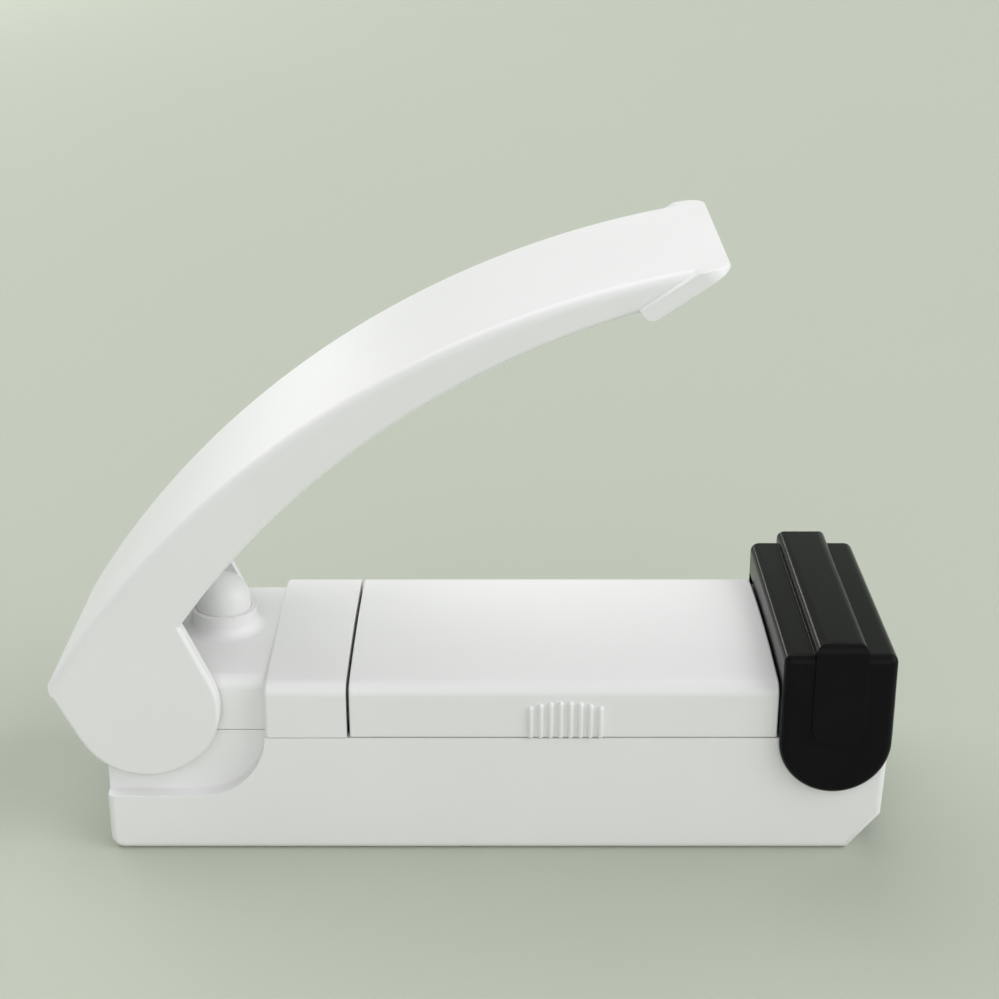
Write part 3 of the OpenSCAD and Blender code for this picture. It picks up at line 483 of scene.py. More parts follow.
class Flow:
    """One socket of a node tree, with plain arithmetic on its value."""

    def __init__(self, nodes, socket):
        self.nodes = nodes
        self.socket = socket

    def __add__(self, other):
        return self.nodes.maths("ADD", self, other)

    def __sub__(self, other):
        return self.nodes.maths("SUBTRACT", self, other)

    def __rsub__(self, other):
        return self.nodes.maths("SUBTRACT", other, self)

    def __mul__(self, other):
        return self.nodes.maths("MULTIPLY", self, other)

    __radd__ = __add__
    __rmul__ = __mul__


class Nodes:
    """A node tree, built from settings, values and links."""

    def __init__(self, tree):
        self.tree = tree
        tree.nodes.clear()

    def feed(self, socket, value):
        """Links a flow to a socket, or sets the socket's own value."""
        if isinstance(value, Flow):
            self.tree.links.new(value.socket, socket)
        else:
            socket.default_value = value

    def node(self, kind, settings=None, sockets=None, out=0):
        """Adds a node with its settings first and then the values or links of its sockets."""
        made = self.tree.nodes.new(kind)
        for name, value in (settings or {}).items():
            setattr(made, name, value)
        for name, value in (sockets or {}).items():
            self.feed(made.inputs[name], value)
        return Flow(self, made.outputs[out]) if made.outputs else None

    def maths(self, operation, *values):
        return self.node("ShaderNodeMath", {"operation": operation}, dict(enumerate(values)))


class Finish(Nodes):
    """A procedural material round one shader."""

    def __init__(self, name):
        self.material = bpy.data.materials.new(name)
        self.material.use_nodes = True
        super().__init__(self.material.node_tree)
        surface = self.node("ShaderNodeBsdfPrincipled")
        self.shader = surface.socket.node
        self.node("ShaderNodeOutputMaterial", None, {"Surface": surface})

    def place(self):
        return self.node("ShaderNodeTexCoord", out="Object")

    def noise(self, scale, detail=2.0, rough=0.5, stretch=None):
        where = self.place()
        if stretch:
            where = self.node("ShaderNodeVectorMath", {"operation": "MULTIPLY"}, {0: where, 1: stretch})
        return self.node("ShaderNodeTexNoise", None,
                         {"Vector": where, "Scale": scale, "Detail": detail, "Roughness": rough})

    def blend(self, share, first, second):
        colours = {0: share, 6: first, 7: second}
        return self.node("ShaderNodeMix", {"data_type": "RGBA"}, colours, out=2)

    def tone(self, share, colour, dark, light):
        """A colour that goes from a darker to a lighter shade of itself."""
        return self.blend(share, shaded(colour, dark), shaded(colour, light))

    def bump(self, height, strength, depth):
        return self.node("ShaderNodeBump", None, {"Height": height, "Strength": strength, "Distance": depth})

    def give(self, **sockets):
        """Sets the shader's own sockets, with spaces for underscores."""
        for name, value in sockets.items():
            self.feed(self.shader.inputs[name.replace("_", " ")], value)


def shaded(colour, share):
    """A colour made darker or lighter, with full alpha."""
    return (*[min(1.0, c * share) for c in colour], 1.0)


def finishes():
    """The finishes by name, made at the first call."""
    if "white_moulding" not in bpy.data.materials:
        tints = bpy.context.scene.sealer_colours
        moulded("white_moulding", tints.white, rough=0.34, spread=0.12, grain=0.05)
        polished("polished_black", tints.black)
        moulded("matt_black", tints.soot, rough=0.5, spread=0.14, grain=0.1)
        moulded("red_insulation", tints.red, rough=0.42, spread=0.1, grain=0.03)
        moulded("black_insulation", tints.soot, rough=0.42, spread=0.1, grain=0.03)
        rubber("silicone", tints.rubber)
        woven("glass_cloth", tints.cloth)
        metal("bright_steel", tints.steel, rough=0.26)
        metal("spring_wire", tints.steel, rough=0.2)
        metal("brass_plate", tints.brass, rough=0.3)
        metal("heating_ribbon", shaded(tints.steel, 0.8)[:3], rough=0.35)
        sleeve("cell_sleeve", tints.sleeve, tints.steel)
    return bpy.data.materials


def moulded(name, colour, rough, spread, grain):
    """Satin plastic with a fine spark-eroded grain and faint flow clouds."""
    f = Finish(name)
    cloud = f.noise(scale=45, detail=3)
    fine = f.noise(scale=5200)
    f.give(Base_Color=f.tone(cloud, colour, dark=0.965, light=1.02),
           Roughness=rough + spread * cloud + 0.06 * fine,
           Normal=f.bump(fine, strength=grain, depth=0.03 * MM), Specular_IOR_Level=0.5)


def polished(name, colour):
    """Polished plastic with faint smears and a slight waviness."""
    f = Finish(name)
    smear = f.noise(scale=160, detail=4, rough=0.6, stretch=(1.0, 0.35, 1.0))
    wave = f.noise(scale=90, detail=1)
    dust = f.noise(scale=9000, detail=1)
    f.give(Base_Color=f.tone(smear, colour, dark=0.8, light=1.5),
           Roughness=0.1 + 0.12 * smear + 0.04 * dust,
           Normal=f.bump(wave, strength=0.05, depth=0.2 * MM), Specular_IOR_Level=0.06)


def rubber(name, colour):
    """Silicone with a soft bloom and a fine skin."""
    f = Finish(name)
    bloom = f.noise(scale=220, detail=3)
    skin = f.noise(scale=7000)
    f.give(Base_Color=f.tone(bloom, colour, dark=0.9, light=1.08), Roughness=0.55 + 0.15 * bloom,
           Normal=f.bump(skin, strength=0.2, depth=0.02 * MM), Sheen_Weight=0.15)


def woven(name, colour):
    """Glass cloth under a brown coating: warp and weft half a millimetre apart."""
    f = Finish(name)
    threads = []
    for axis in ("X", "Y"):
        bands = {"wave_type": "BANDS", "bands_direction": axis, "wave_profile": "SIN"}
        threads.append(f.node("ShaderNodeTexWave", bands, {
            "Vector": f.place(), "Scale": 620.0, "Distortion": 0.4, "Detail": 1.0}))
    cloth = threads[0] * 0.5 + threads[1] * 0.5
    stain = f.noise(scale=300, detail=3)
    f.give(Base_Color=f.tone(0.6 * cloth + 0.4 * stain, colour, dark=0.6, light=1.25),
           Roughness=0.34 + 0.2 * stain, Normal=f.bump(cloth, strength=0.5, depth=0.05 * MM))


def metal(name, colour, rough):
    """Drawn or rolled metal with fine lines along the body."""
    f = Finish(name)
    lines = f.noise(scale=2600, detail=3, rough=0.6, stretch=(0.12, 1.0, 1.0))
    haze = f.noise(scale=240, detail=3)
    f.give(Base_Color=f.tone(haze, colour, dark=0.85, light=1.1), Metallic=1.0,
           Roughness=rough + 0.14 * haze + 0.08 * lines,
           Normal=f.bump(lines, strength=0.12, depth=0.01 * MM))


def sleeve(name, colour, end):
    """Plain printed sleeve with a bright band towards both ends of a cell."""
    f = Finish(name)
    cell_middle, band_start = 8.2 * MM, 19.5 * MM
    x = f.node("ShaderNodeSeparateXYZ", None, {0: f.place()}, out="X")
    band = f.maths("GREATER_THAN", f.maths("ABSOLUTE", x - cell_middle), band_start)
    haze = f.noise(scale=400)
    tone = f.blend(band, f.tone(haze, colour, dark=0.9, light=1.1), shaded(end, 1.0))
    f.give(Base_Color=tone, Metallic=0.35 + 0.6 * band, Roughness=0.24 + 0.12 * haze)


# Pieces


class MakeBase(bpy.types.Operator):
    """Models the lower tub with its cheek recesses, screw wells and sloped nose"""
    bl_idname = "sealer.base"
    bl_label = "Base tub"
    ear_slot = 4.15 * MM
    rear_screw_x = -25.4 * MM
    well_depth, well_radius = 2.8 * MM, 2.25 * MM

    def execute(self, context):
        s = context.scene.sealer_shell
        front = BASE_HIGH.x
        outline = arc((REAR + s.heel, s.heel), s.heel, 180, 270, 8)
        outline += [(front - s.nose_length, 0), (front - s.nose_lean, s.nose_height),
                    (front, BASE_TOP), (REAR, BASE_TOP)]
        tub = across("base_tub", outline, HALF)
        side = on_sides(HALF)
        soften(tub, s.bottom, 5, lambda a, b: side(a, b) and min(a.z, b.z) < BASE_TOP - CLOSE)
        inner, neck_inner = HALF - s.wall, NECK_HALF - s.wall
        height = (s.wall, BASE_TOP + FAR)
        cut(tub, *[across("recess", self.recess(s), *y) for y in both_sides(NECK_HALF, HALF + FAR)])
        cut(tub, block("compartment", (NECK_X + s.wall, front - s.wall), (-inner, inner), height),
            block("neck_room", (REAR + s.wall, NECK_X + 2 * s.wall), (-neck_inner, neck_inner), height),
            rod("ear_slots", PIVOT, (-HALF - FAR, HALF + FAR), self.ear_slot))
        for x, out in ((self.rear_screw_x, SCREW_OUT), (PIVOT.x, HEAD_SCREW_OUT)):
            for y in (out, -out):
                cut(tub, post("screw_well", x, y, (-FAR, self.well_depth), self.well_radius, 32))
        round_edges(tub, s.edge)
        settle(tub, "base", "white_moulding", "white_plastic", "base_shell")
        return {"FINISHED"}

    def recess(self, s):
        """Side view of the room for a cheek, with a round lower front corner."""
        corner_x, high = NECK_X - s.recess, BASE_TOP + FAR
        outline = [(REAR - FAR, s.ledge), (corner_x, s.ledge)]
        outline += arc((corner_x, s.ledge + s.recess), s.recess, 270, 360, 16)[1:]
        return outline + [(NECK_X, high), (REAR - FAR, high)]


class MakeCasing(bpy.types.Operator):
    """Models the rear casing with its neck, the button's collar and the spring's window"""
    bl_idname = "sealer.casing"
    bl_label = "Rear casing"
    overlap = 0.5 * MM
    bore_gap = 0.05 * MM
    flare_start, flare_run, flare_dip = 248, MM, 0.4 * MM
    window_rear, window_front, window_half = 5.3 * MM, 2.45 * MM, 4.9 * MM

    def execute(self, context):
        s = context.scene.sealer_shell
        casing = along("rear_casing_shell", shell_section(s, HALF, ROOF_Z), NECK_X, CASING_FRONT)
        soften(casing, s.step, 4,
               lambda a, b: max(a.x, b.x) < NECK_X + CLOSE and max(a.z, b.z) > SEAM_Z + CLOSE)
        neck = along("neck", shell_section(s, NECK_HALF, NECK_TOP), REAR, NECK_X + self.overlap)
        view = [(REAR, 0), (NECK_X + FAR, 0), (NECK_X + FAR, NECK_TOP)]
        view += arc((REAR + s.neck_back, NECK_TOP - s.neck_back), s.neck_back, 90, 180, 8)
        combine(neck, across("neck_side", view, HALF), "INTERSECT")
        join(casing, neck, self.collar(s, BUTTON_RADIUS + s.collar))
        cut(casing, along("hollow", room_section(s, HALF, ROOF_Z, s.wall),
                          NECK_X + s.wall, CASING_FRONT - s.wall),
            along("neck_hollow", room_section(s, NECK_HALF, NECK_TOP, s.wall),
                  REAR + s.wall, NECK_X + 2 * s.wall),
            post("bore", BUTTON_X, 0, (0, ROOF_Z + FAR), BUTTON_RADIUS + self.bore_gap),
            block("window", (HINGE.x - self.window_rear, HINGE.x + self.window_front),
                  (-self.window_half, self.window_half), (HINGE.z, ROOF_Z + FAR)))
        round_edges(casing, s.edge)
        settle(casing, "base", "white_moulding", "white_plastic", "rear_casing")
        return {"FINISHED"}

    def collar(self, s, radius):
        """The button's collar, with a flared foot that runs out into the neck."""
        low, top = NECK_TOP - s.wall, NECK_TOP + s.collar_height
        centre = (radius + s.collar_foot, NECK_TOP + s.collar_foot)
        flare = arc(centre, s.collar_foot, self.flare_start, 180, 7)
        foot = (flare[0][0] + self.flare_run, flare[0][1] - self.flare_dip)
        return spun("collar", [(0, low), (radius, low), foot, *flare, (radius, top), (0, top)], BUTTON_X, 0)


class MakeCover(bpy.types.Operator):
    """Models the battery cover with its clips and grip ribs"""
    bl_idname = "sealer.cover"
    bl_label = "Battery cover"
    thinner = 0.2 * MM
    clip_length, clip_thick, clip_gap = 6 * MM, 0.65 * MM, 0.15 * MM
    ribs_from_rear = 27.8 * MM

    def execute(self, context):
        s = context.scene.sealer_shell
        rear, front, clip = COVER_LOW.x, COVER_HIGH.x, self.clip_length
        cover = along("battery_lid", shell_section(s, HALF, ROOF_Z), rear, front)
        inside = room_section(s, HALF, ROOF_Z, s.wall - self.thinner)
        cut(cover, along("inside", inside, rear - FAR, front + FAR))
        edge = HALF - s.wall - self.clip_gap
        for x in (rear + clip, front - 2 * clip):
            for y in both_sides(edge - self.clip_thick, edge):
                join(cover, block("clip", (x, x + clip), y, (COVER_LOW.z, BASE_TOP + clip / 2)))
        round_edges(cover, s.edge)
        self.add_ribs(cover, s, rear + self.ribs_from_rear)
        settle(cover, "cover", "white_moulding", "white_plastic", "battery_cover")
        return {"FINISHED"}

    def add_ribs(self, cover, s, row_x):
        """Half round ribs with domed ends, higher towards the middle of each row."""
        middle = (s.ribs - 1) / 2
        radius = s.rib_width / 2
        ribs = []
        for y in (-HALF, HALF):
            for i in range(s.ribs):
                reach = s.rib_low + (s.rib_high - s.rib_low) * (1 - ((i - middle) / middle) ** 2)
                low, high = SEAM_Z + radius, SEAM_Z + reach - radius
                profile = arc((0, low), radius, -90, 0, 5) + arc((0, high), radius, 0, 90, 5)
                rib = spun(f"rib_{len(ribs)}", profile, row_x + (i - middle) * s.rib_pitch, y, 20)
                with editing(rib):
                    bpy.ops.transform.resize(value=(1, s.rib_proud / radius, 1), center_override=(0, y, 0))
                bpy.ops.object.shade_smooth()
                ribs.append(rib)
        take(cover)
        for rib in ribs:
            rib.select_set(True)
        bpy.ops.object.join()


class LeverView:
    """Side view of the lever, drawn closed from the hinge and turned to the open lever's place."""
    bar_height, seal_gap = 9.3 * MM, MM
    jaw_reach, tip_rise = 4.3 * MM, 0.5 * MM
    root_back, root_rise = 1.2 * MM, 1.9 * MM
    cheek_back = 0.5 * MM
    bite, run_on = 0.3 * MM, 3 * MM  # Depth of the jaw plate under the lever's end, and the drawn run past it
    fall = (root_rise - bite) / (root_back + 2.5 * MM)  # Slope from the lower edge into the jaw plate
    far, trim_back, channel_rear = 20 * MM, 5 * MM, -30 * MM
    # Degrees from the heel and from the root to the channel's ends, and how far its front wall drops
    channel_start, channel_end, channel_drop = 6, 0.6, 0.5 * MM
    heel = Vector((-8.7 * MM, 9.6 * MM))
    throat = Vector((10.75 * MM, 6.9 * MM))
    press_x, press_z, press_half = 8.77 * MM, 9.92 * MM, MM

    def __init__(self, s):
        self.s = s
        self.turn = (math.cos(s.open_angle), math.sin(s.open_angle))
        self.under = BASE_TOP + self.bar_height + self.seal_gap + s.pad_proud - HINGE.z
        self.plate_top = self.under + s.jaw_height
        self.tip_x = PIVOT.x + self.jaw_reach - HINGE.x
        self.heel_x = self.tip_x - s.jaw_length
        self.tip = Vector((self.tip_x, self.under + self.tip_rise))
        self.root = Vector((self.heel_x - self.root_back, self.under + self.root_rise))
        self.top_mid = arc_middle(self.heel, self.tip, s.top_radius)
        self.low_mid = arc_middle(self.throat, self.root, s.low_radius)

    def out(self, point):
        """A point of the drawing, in the open lever's place."""
        c, n = self.turn
        return (HINGE.x + point[0] * c - point[1] * n, HINGE.z + point[0] * n + point[1] * c)

    def turned(self, points):
        return [self.out(p) for p in points]

    def body(self):
        """The lever with its round cheeks. It runs on past the jaw, so that its edges are rounded evenly."""
        s, back, r = self.s, self.cheek_back, self.s.cheek_radius
        end_x = self.tip_x + self.run_on
        end = math.degrees(math.acos((end_x - self.top_mid.x) / s.top_radius))
        points = arc(self.top_mid, s.top_radius, bearing(self.top_mid, self.heel), end, 62)
        points.append((end_x, self.root.y - (end_x - self.root.x) * self.fall))
        points += arc(self.low_mid, s.low_radius, bearing(self.low_mid, self.root),
                      bearing(self.low_mid, self.throat), 44)
        first = tangent_angle(self.throat, r, -1)
        last = tangent_angle((self.heel.x + back, self.heel.y), r, 1)
        points += arc((0, 0), r, first, -90, 20)
        points += [(x - back, z) for x, z in arc((0, 0), r, -90, last - 360, 16)]
        return self.turned(points)

    def trim(self):
        """What is cut off the lever's front, so that it ends inside the jaw plate."""
        end_x, end_z, rear_x = self.tip_x - MM, self.under + self.bite, self.heel_x - self.trim_back
        front, low, high = self.tip_x + self.far, self.under - self.far, self.under + self.far
        return self.turned([(end_x, high), (end_x, end_z), (rear_x, end_z), (rear_x, low),
                            (front, low), (front, high)])

    def channel(self):
        """The channel under the lever's back, open below and at the rear."""
        s, front, rear, low = self.s, self.root.x, self.channel_rear, -self.far
        start = bearing(self.top_mid, self.heel) + self.channel_start
        end = bearing(self.top_mid, self.root) + self.channel_end
        points = [p for p in arc(self.top_mid, s.top_radius - s.skin, start, end, 40) if p[0] < front]
        points += [(front, points[-1][1] - self.channel_drop), (front, low),
                   (rear, low), (rear, points[0][1])]
        return self.turned(points)

    def plate(self):
        """The jaw plate. Its front crosses the lever's back at a slight angle, so no step shows."""
        s, cross, steps = self.s, 0.02 * MM, 8
        meet = math.degrees(math.asin((self.plate_top - self.top_mid.y) / s.top_radius))
        front = arc(self.top_mid, s.top_radius, bearing(self.top_mid, self.tip), meet, steps)
        points = [(self.tip_x, self.under)]
        for i, p in enumerate(front):
            grow = 1 + (1 - 2 * i / steps) * cross / s.top_radius
            points.append(tuple(self.top_mid + (Vector(p) - self.top_mid) * grow))
        points.append((self.heel_x, points[-1][1]))
        points += arc((self.heel_x + s.jaw_heel, self.under + s.jaw_heel), s.jaw_heel, 180, 270, 6)
        return self.turned(points)

    def press_rib(self):
        """The rib under the lever's back that presses the button."""
        radius = self.s.top_radius - self.s.skin / 2
        sides = (self.press_x - self.press_half, self.press_x + self.press_half)
        points = [(x, self.press_z) for x in sides]
        points += [(x, self.top_mid.y + math.sqrt(radius ** 2 - (x - self.top_mid.x) ** 2))
                   for x in reversed(sides)]
        return self.turned(points)

    def strip(self, gap, low, high, radius=0):
        """The silicone pad or its groove, between two heights."""
        middle, half = PIVOT.x - HINGE.x, self.s.pad_width / 2 + gap
        return self.turned(soft_box(middle - half, low, middle + half, high, radius))


class MakeLever(bpy.types.Operator):
    """Models the curved pressing lever with its cheeks, jaw plate and silicone pad"""
    bl_idname = "sealer.lever"
    bl_label = "Pressing lever"
    rib_half = 3.5 * MM
    pad_inset, pad_seat, pad_gap, pad_touch = 3.5 * MM, 0.7 * MM, 0.05 * MM, 0.02 * MM
    pad_corner, pad_edge = 0.5 * MM, 0.15 * MM

    def execute(self, context):
        s = context.scene.sealer_lever
        view = LeverView(s)
        half, pad_half = s.width / 2, s.jaw_width / 2 - self.pad_inset
        seat = view.under + self.pad_seat
        lever = across("lever_arm", view.body(), half)
        soften(lever, s.back_edge, 6, self.along_back(view, half))
        soften(lever, s.side_edge, 4, on_sides(half))
        cut(lever, across("trim", view.trim(), half + MM), across("channel", view.channel(), half - s.cheek))
        join(lever, self.jaw(s, view), across("press_rib", view.press_rib(), self.rib_half))
        groove = view.strip(self.pad_gap, view.under - MM, seat)
        cut(lever, across("groove", groove, pad_half + self.pad_gap))
        round_edges(lever, s.edge)
        settle(lever, "arm", "white_moulding", "white_plastic", "arm")
        section = view.strip(0, view.under - s.pad_proud, seat - self.pad_touch, self.pad_corner)
        pad = across("silicone_pad", section, pad_half)
        round_edges(pad, self.pad_edge)
        settle(pad, "arm", "silicone", "silicone", "jaw_pad")
        return {"FINISHED"}

    def along_back(self, view, half):
        """Tests for the two long edges of the lever's back."""
        centre = Vector(view.out(view.top_mid))
        side = on_sides(half)

        def test(a, b):
            reach = [(Vector((p.x, p.z)) - centre).length for p in (a, b)]
            return side(a, b) and max(abs(d - view.s.top_radius) for d in reach) < 2 * CLOSE

        return test

    def jaw(self, s, view):
        """The jaw plate, with round front corners when seen from above."""
        half, r, low = s.jaw_width / 2, s.jaw_corner, view.under - MM
        jaw = across("jaw", view.plate(), half + MM)
        corner_x, rear_x = view.tip_x - r, view.heel_x - MM
        plan = arc((corner_x, half - r), r, 90, 0, 8) + arc((corner_x, r - half), r, 0, -90, 8)
        plan += [(rear_x, -half), (rear_x, half)]
        ring = []
        for x, y in plan:
            px, pz = view.out((x, low))
            ring.append(Vector((px, y, pz)))
        up = Vector(view.out((0, view.plate_top + MM))) - Vector(view.out((0, low)))
        combine(jaw, prism("jaw_plan", ring, Vector((up.x, 0, up.y))), "INTERSECT")
        clean(jaw)
        modify(jaw, "BEVEL", width=s.jaw_edge, segments=4, limit_method="ANGLE", angle_limit=math.radians(45))
        return jaw


class MakeCap(bpy.types.Operator):
    """Models the black safety cap with its middle ridge and round cheeks"""
    bl_idname = "sealer.cap"
    bl_label = "Safety cap"
    gap = 0.2 * MM
    foot, ridge_corner = 2.4 * MM, 1.5 * MM
    stub_radius, stub_length, overlap = 2 * MM, 2.2 * MM, 0.1 * MM

    def execute(self, context):
        s = context.scene.sealer_cap
        r, roof_z = s.radius, PIVOT.z + s.height
        inner = HALF + self.gap
        outer = inner + s.cheek
        outline = arc((0, -s.drop), r, 180, 360, 40) + [(r, s.height), (-r, s.height)]
        cap = across("cap_shell", self.placed(outline), outer)
        side = on_sides(outer)
        soften(cap, s.corner, 6, lambda a, b: side(a, b) or min(a.z, b.z) > roof_z - CLOSE)
        join(cap, self.ridge(s, outer + s.ridge_proud))
        cut(cap, across("room", self.placed(self.room(s)), inner))
        for y in both_sides(inner - self.stub_length, inner + self.overlap):
            join(cap, rod("stub", PIVOT, y, self.stub_radius, 32))
        round_edges(cap, s.edge, 4)
        settle(cap, "cap", "polished_black", "black_gloss", "safety_cap")
        return {"FINISHED"}

    def room(self, s):
        """Side view of the room inside, which is open in front and behind below the skirts."""
        wide, narrow, low = s.radius + FAR, s.radius - s.wall, -3 * s.radius
        skirt, top = s.height - s.skirt, s.height - s.wall
        return [(-wide, low), (wide, low), (wide, skirt), (narrow, skirt), (narrow, top), (-narrow, top),
                (-narrow, skirt), (-wide, skirt)]

    def ridge(self, s, half):
        """The middle ridge, which ends in a round foot on both cheeks."""
        side, foot, peak = s.ridge_width / 2, self.foot, PIVOT.z + s.ridge_height
        strip = arc((foot - side, foot - s.ridge_foot), foot, 180, 270, 8)
        strip += arc((side - foot, foot - s.ridge_foot), foot, 270, 360, 8)
        strip += [(side, s.ridge_height), (-side, s.ridge_height)]
        ridge = across("ridge", self.placed(strip), half)
        soften(ridge, self.ridge_corner, 6, lambda a, b: min(a.z, b.z) > peak - CLOSE)
        return ridge

    def placed(self, points):
        return [(PIVOT.x + x, PIVOT.z + z) for x, z in points]


class MakeHead(bpy.types.Operator):
    """Models the heating head with its bar, pivot ears and the slots of the ribbon"""
    bl_idname = "sealer.head"
    bl_label = "Heating head"
    shoulder, shoulder_corner = 6.8 * MM, 1.2 * MM
    bar_half, bar_corner = 2.3 * MM, 0.4 * MM
    ear_radius, bore_radius, bore_depth = 4 * MM, 2.05 * MM, 2.4 * MM
    room_gap, room_top = 0.55 * MM, 3 * MM
    leg_out, leg_half, leg_gap = 13.0 * MM, 1.65 * MM, 0.22 * MM

    def execute(self, context):
        s = context.scene.sealer_shell
        inner = HALF - s.wall - self.room_gap
        head = across("heating_head", self.side_view(), HALF)
        cut(head, block("inside", (HEAD_LOW.x + s.wall, BASE_HIGH.x - s.wall), (-inner, inner),
                        (-FAR, BASE_TOP + self.room_top)))
        for y in both_sides(self.leg_out - self.leg_gap, self.leg_out + self.leg_gap):
            cut(head, block("leg_slot", (PIVOT.x - self.leg_half, PIVOT.x + self.leg_half), y,
                            (BASE_TOP, HEAD_HIGH.z + FAR)))
        for y in both_sides(HALF - self.bore_depth, HALF + FAR):
            cut(head, rod("stub_bore", PIVOT, y, self.bore_radius, 32))
        round_edges(head, s.edge)
        settle(head, "base", "matt_black", "black_matte", "heater_block")
        return {"FINISHED"}

    def side_view(self):
        """The head's shoulders with the bar on top and the round ears below."""
        roof_z, side = BASE_TOP + self.shoulder, self.bar_half
        body = soft_box(HEAD_LOW.x, SEAM_Z, HEAD_HIGH.x, roof_z, high=self.shoulder_corner)
        bar = soft_box(PIVOT.x - side, roof_z, PIVOT.x + side, HEAD_HIGH.z, high=self.bar_corner)
        dip = math.degrees(math.asin((PIVOT.z - SEAM_Z) / self.ear_radius))
        ears = arc((PIVOT.x, PIVOT.z), self.ear_radius, 180 + dip, 360 - dip, 26)
        front_end = 9  # Points of the body up to the end of its upper front corner
        return [body[0], *ears, *body[1:front_end], *bar[1:], bar[0], *body[front_end:]]


class MakeButton(bpy.types.Operator):
    """Models the domed button with its flange and push rod"""
    bl_idname = "sealer.button"
    bl_label = "Button"
    flange, push, lip = 4.25 * MM, 1.2 * MM, 0.2 * MM
    flange_drop, flange_height = 3.0 * MM, MM

    def execute(self, context):
        low, flange, push, lip = BUTTON_LOW.z, self.flange, self.push, self.lip
        under = NECK_TOP - self.flange_drop
        over = under + self.flange_height
        profile = [(0, low), (push - lip, low), (push, low + lip), (push, under), (flange - lip, under),
                   (flange, under + lip), (flange, over - lip), (flange - lip, over), (BUTTON_RADIUS, over)]
        profile += arc((0, BUTTON_HIGH.z - BUTTON_RADIUS), BUTTON_RADIUS, 0, 90, 16)
        button = spun("press_button", profile, BUTTON_X, 0)
        shade(button)
        settle(button, "button", "white_moulding", "white_plastic", "button")
        return {"FINISHED"}


class MakeSprings(bpy.types.Operator):
    """Winds the lever's torsion spring, the button's spring and the cells' cone springs"""
    bl_idname = "sealer.springs"
    bl_label = "Springs"
    turn_steps = 28
    touch = 0.02 * MM
    button_wire, button_radius, button_reach, travel = 0.5 * MM, 1.85 * MM, 7.1 * MM, 1.5 * MM
    cone_wire, cone_wide, cone_narrow, cone_reach = 0.6 * MM, 5 * MM, 2.6 * MM, 4.2 * MM
    lever_wire, lever_radius, lever_span, lever_leg = 0.8 * MM, 2.2 * MM, 7 * MM, 10 * MM
    lever_turns, foot_angle, leg_angle = 5, -45, 38
    foot_room = 3.88 * MM

    def execute(self, context):
        self.torsion()
        low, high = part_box("button_spring")
        x = (low.x + high.x) / 2
        foot, up, radii = Vector((x, 0, low.z)), Vector((0, 0, 1)), (self.button_radius, self.button_radius)
        route = self.coil(foot, up, radii, self.button_reach, self.button_wire, 5)
        coil = wire("button_coil", route, self.button_wire)
        settle(coil, "base", "spring_wire", "steel", "button_spring")
        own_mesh(coil)
        self.cones()
        return {"FINISHED"}

    def coil(self, start, axis, radii, reach, thick, turns):
        """Route of an even coil along an axis, from its first to its last radius."""
        across_a = Vector((0, 1, 0))
        across_b = axis.cross(across_a)
        steps = self.turn_steps * turns
        route = []
        for i in range(steps + 1):
            share = i / steps
            turn = 2 * math.pi * turns * share
            r = radii[0] + (radii[1] - radii[0]) * share
            rise = thick / 2 + self.touch + (reach - thick - 2 * self.touch) * share
            ring = across_a * (r * math.cos(turn)) + across_b * (r * math.sin(turn))
            route.append(start + axis * rise + ring)
        return route

    def cones(self):
        """The cone springs at the cells' flat ends, which stand for one node."""
        low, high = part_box("contact_springs")
        radii = (self.cone_wide, self.cone_narrow)
        ends = []
        for name, x, way, cell in (("rear_cone", low.x, 1, "cell_left"),
                                   ("front_cone", high.x, -1, "cell_right")):
            a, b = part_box(cell)
            start = Vector((x, (a.y + b.y) / 2, (a.z + b.z) / 2))
            route = self.coil(start, Vector((way, 0, 0)), radii, self.cone_reach, self.cone_wire, 3)
            ends.append(wire(name, route, self.cone_wire))
        settle(ends[0], "base", "spring_wire", "steel", "contact_springs")
        settle(ends[1], "base", "spring_wire", "steel")

    def torsion(self):
        """The lever's spring, with its foot towards the casing and its leg along the lever; it follows no
        body.
        """
        r, span = self.lever_radius, self.lever_span
        a0, a1 = math.radians(self.foot_angle), math.radians(self.leg_angle + 360 * self.lever_turns)
        foot = (self.foot_room + r * math.cos(a0)) / -math.sin(a0)
        steps = self.turn_steps * self.lever_turns

        def at(angle, share, ahead=0.0):
            """A point of the coil, or one ahead of it along its tangent."""
            c, n = math.cos(angle), math.sin(angle)
            return HINGE + Vector((r * c - ahead * n, span * (share - 0.5), r * n + ahead * c))

        route = [at(a0, 0, -foot), at(a0, 0, -foot / 2)]
        route += [at(a0 + (a1 - a0) * i / steps, i / steps) for i in range(steps + 1)]
        route += [at(a1, 1, self.lever_leg / 2), at(a1, 1, self.lever_leg)]
        spring = wire("lever_spring", route, self.lever_wire)
        settle(spring, None, "spring_wire", "steel", "arm_return_spring")
        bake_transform(spring)


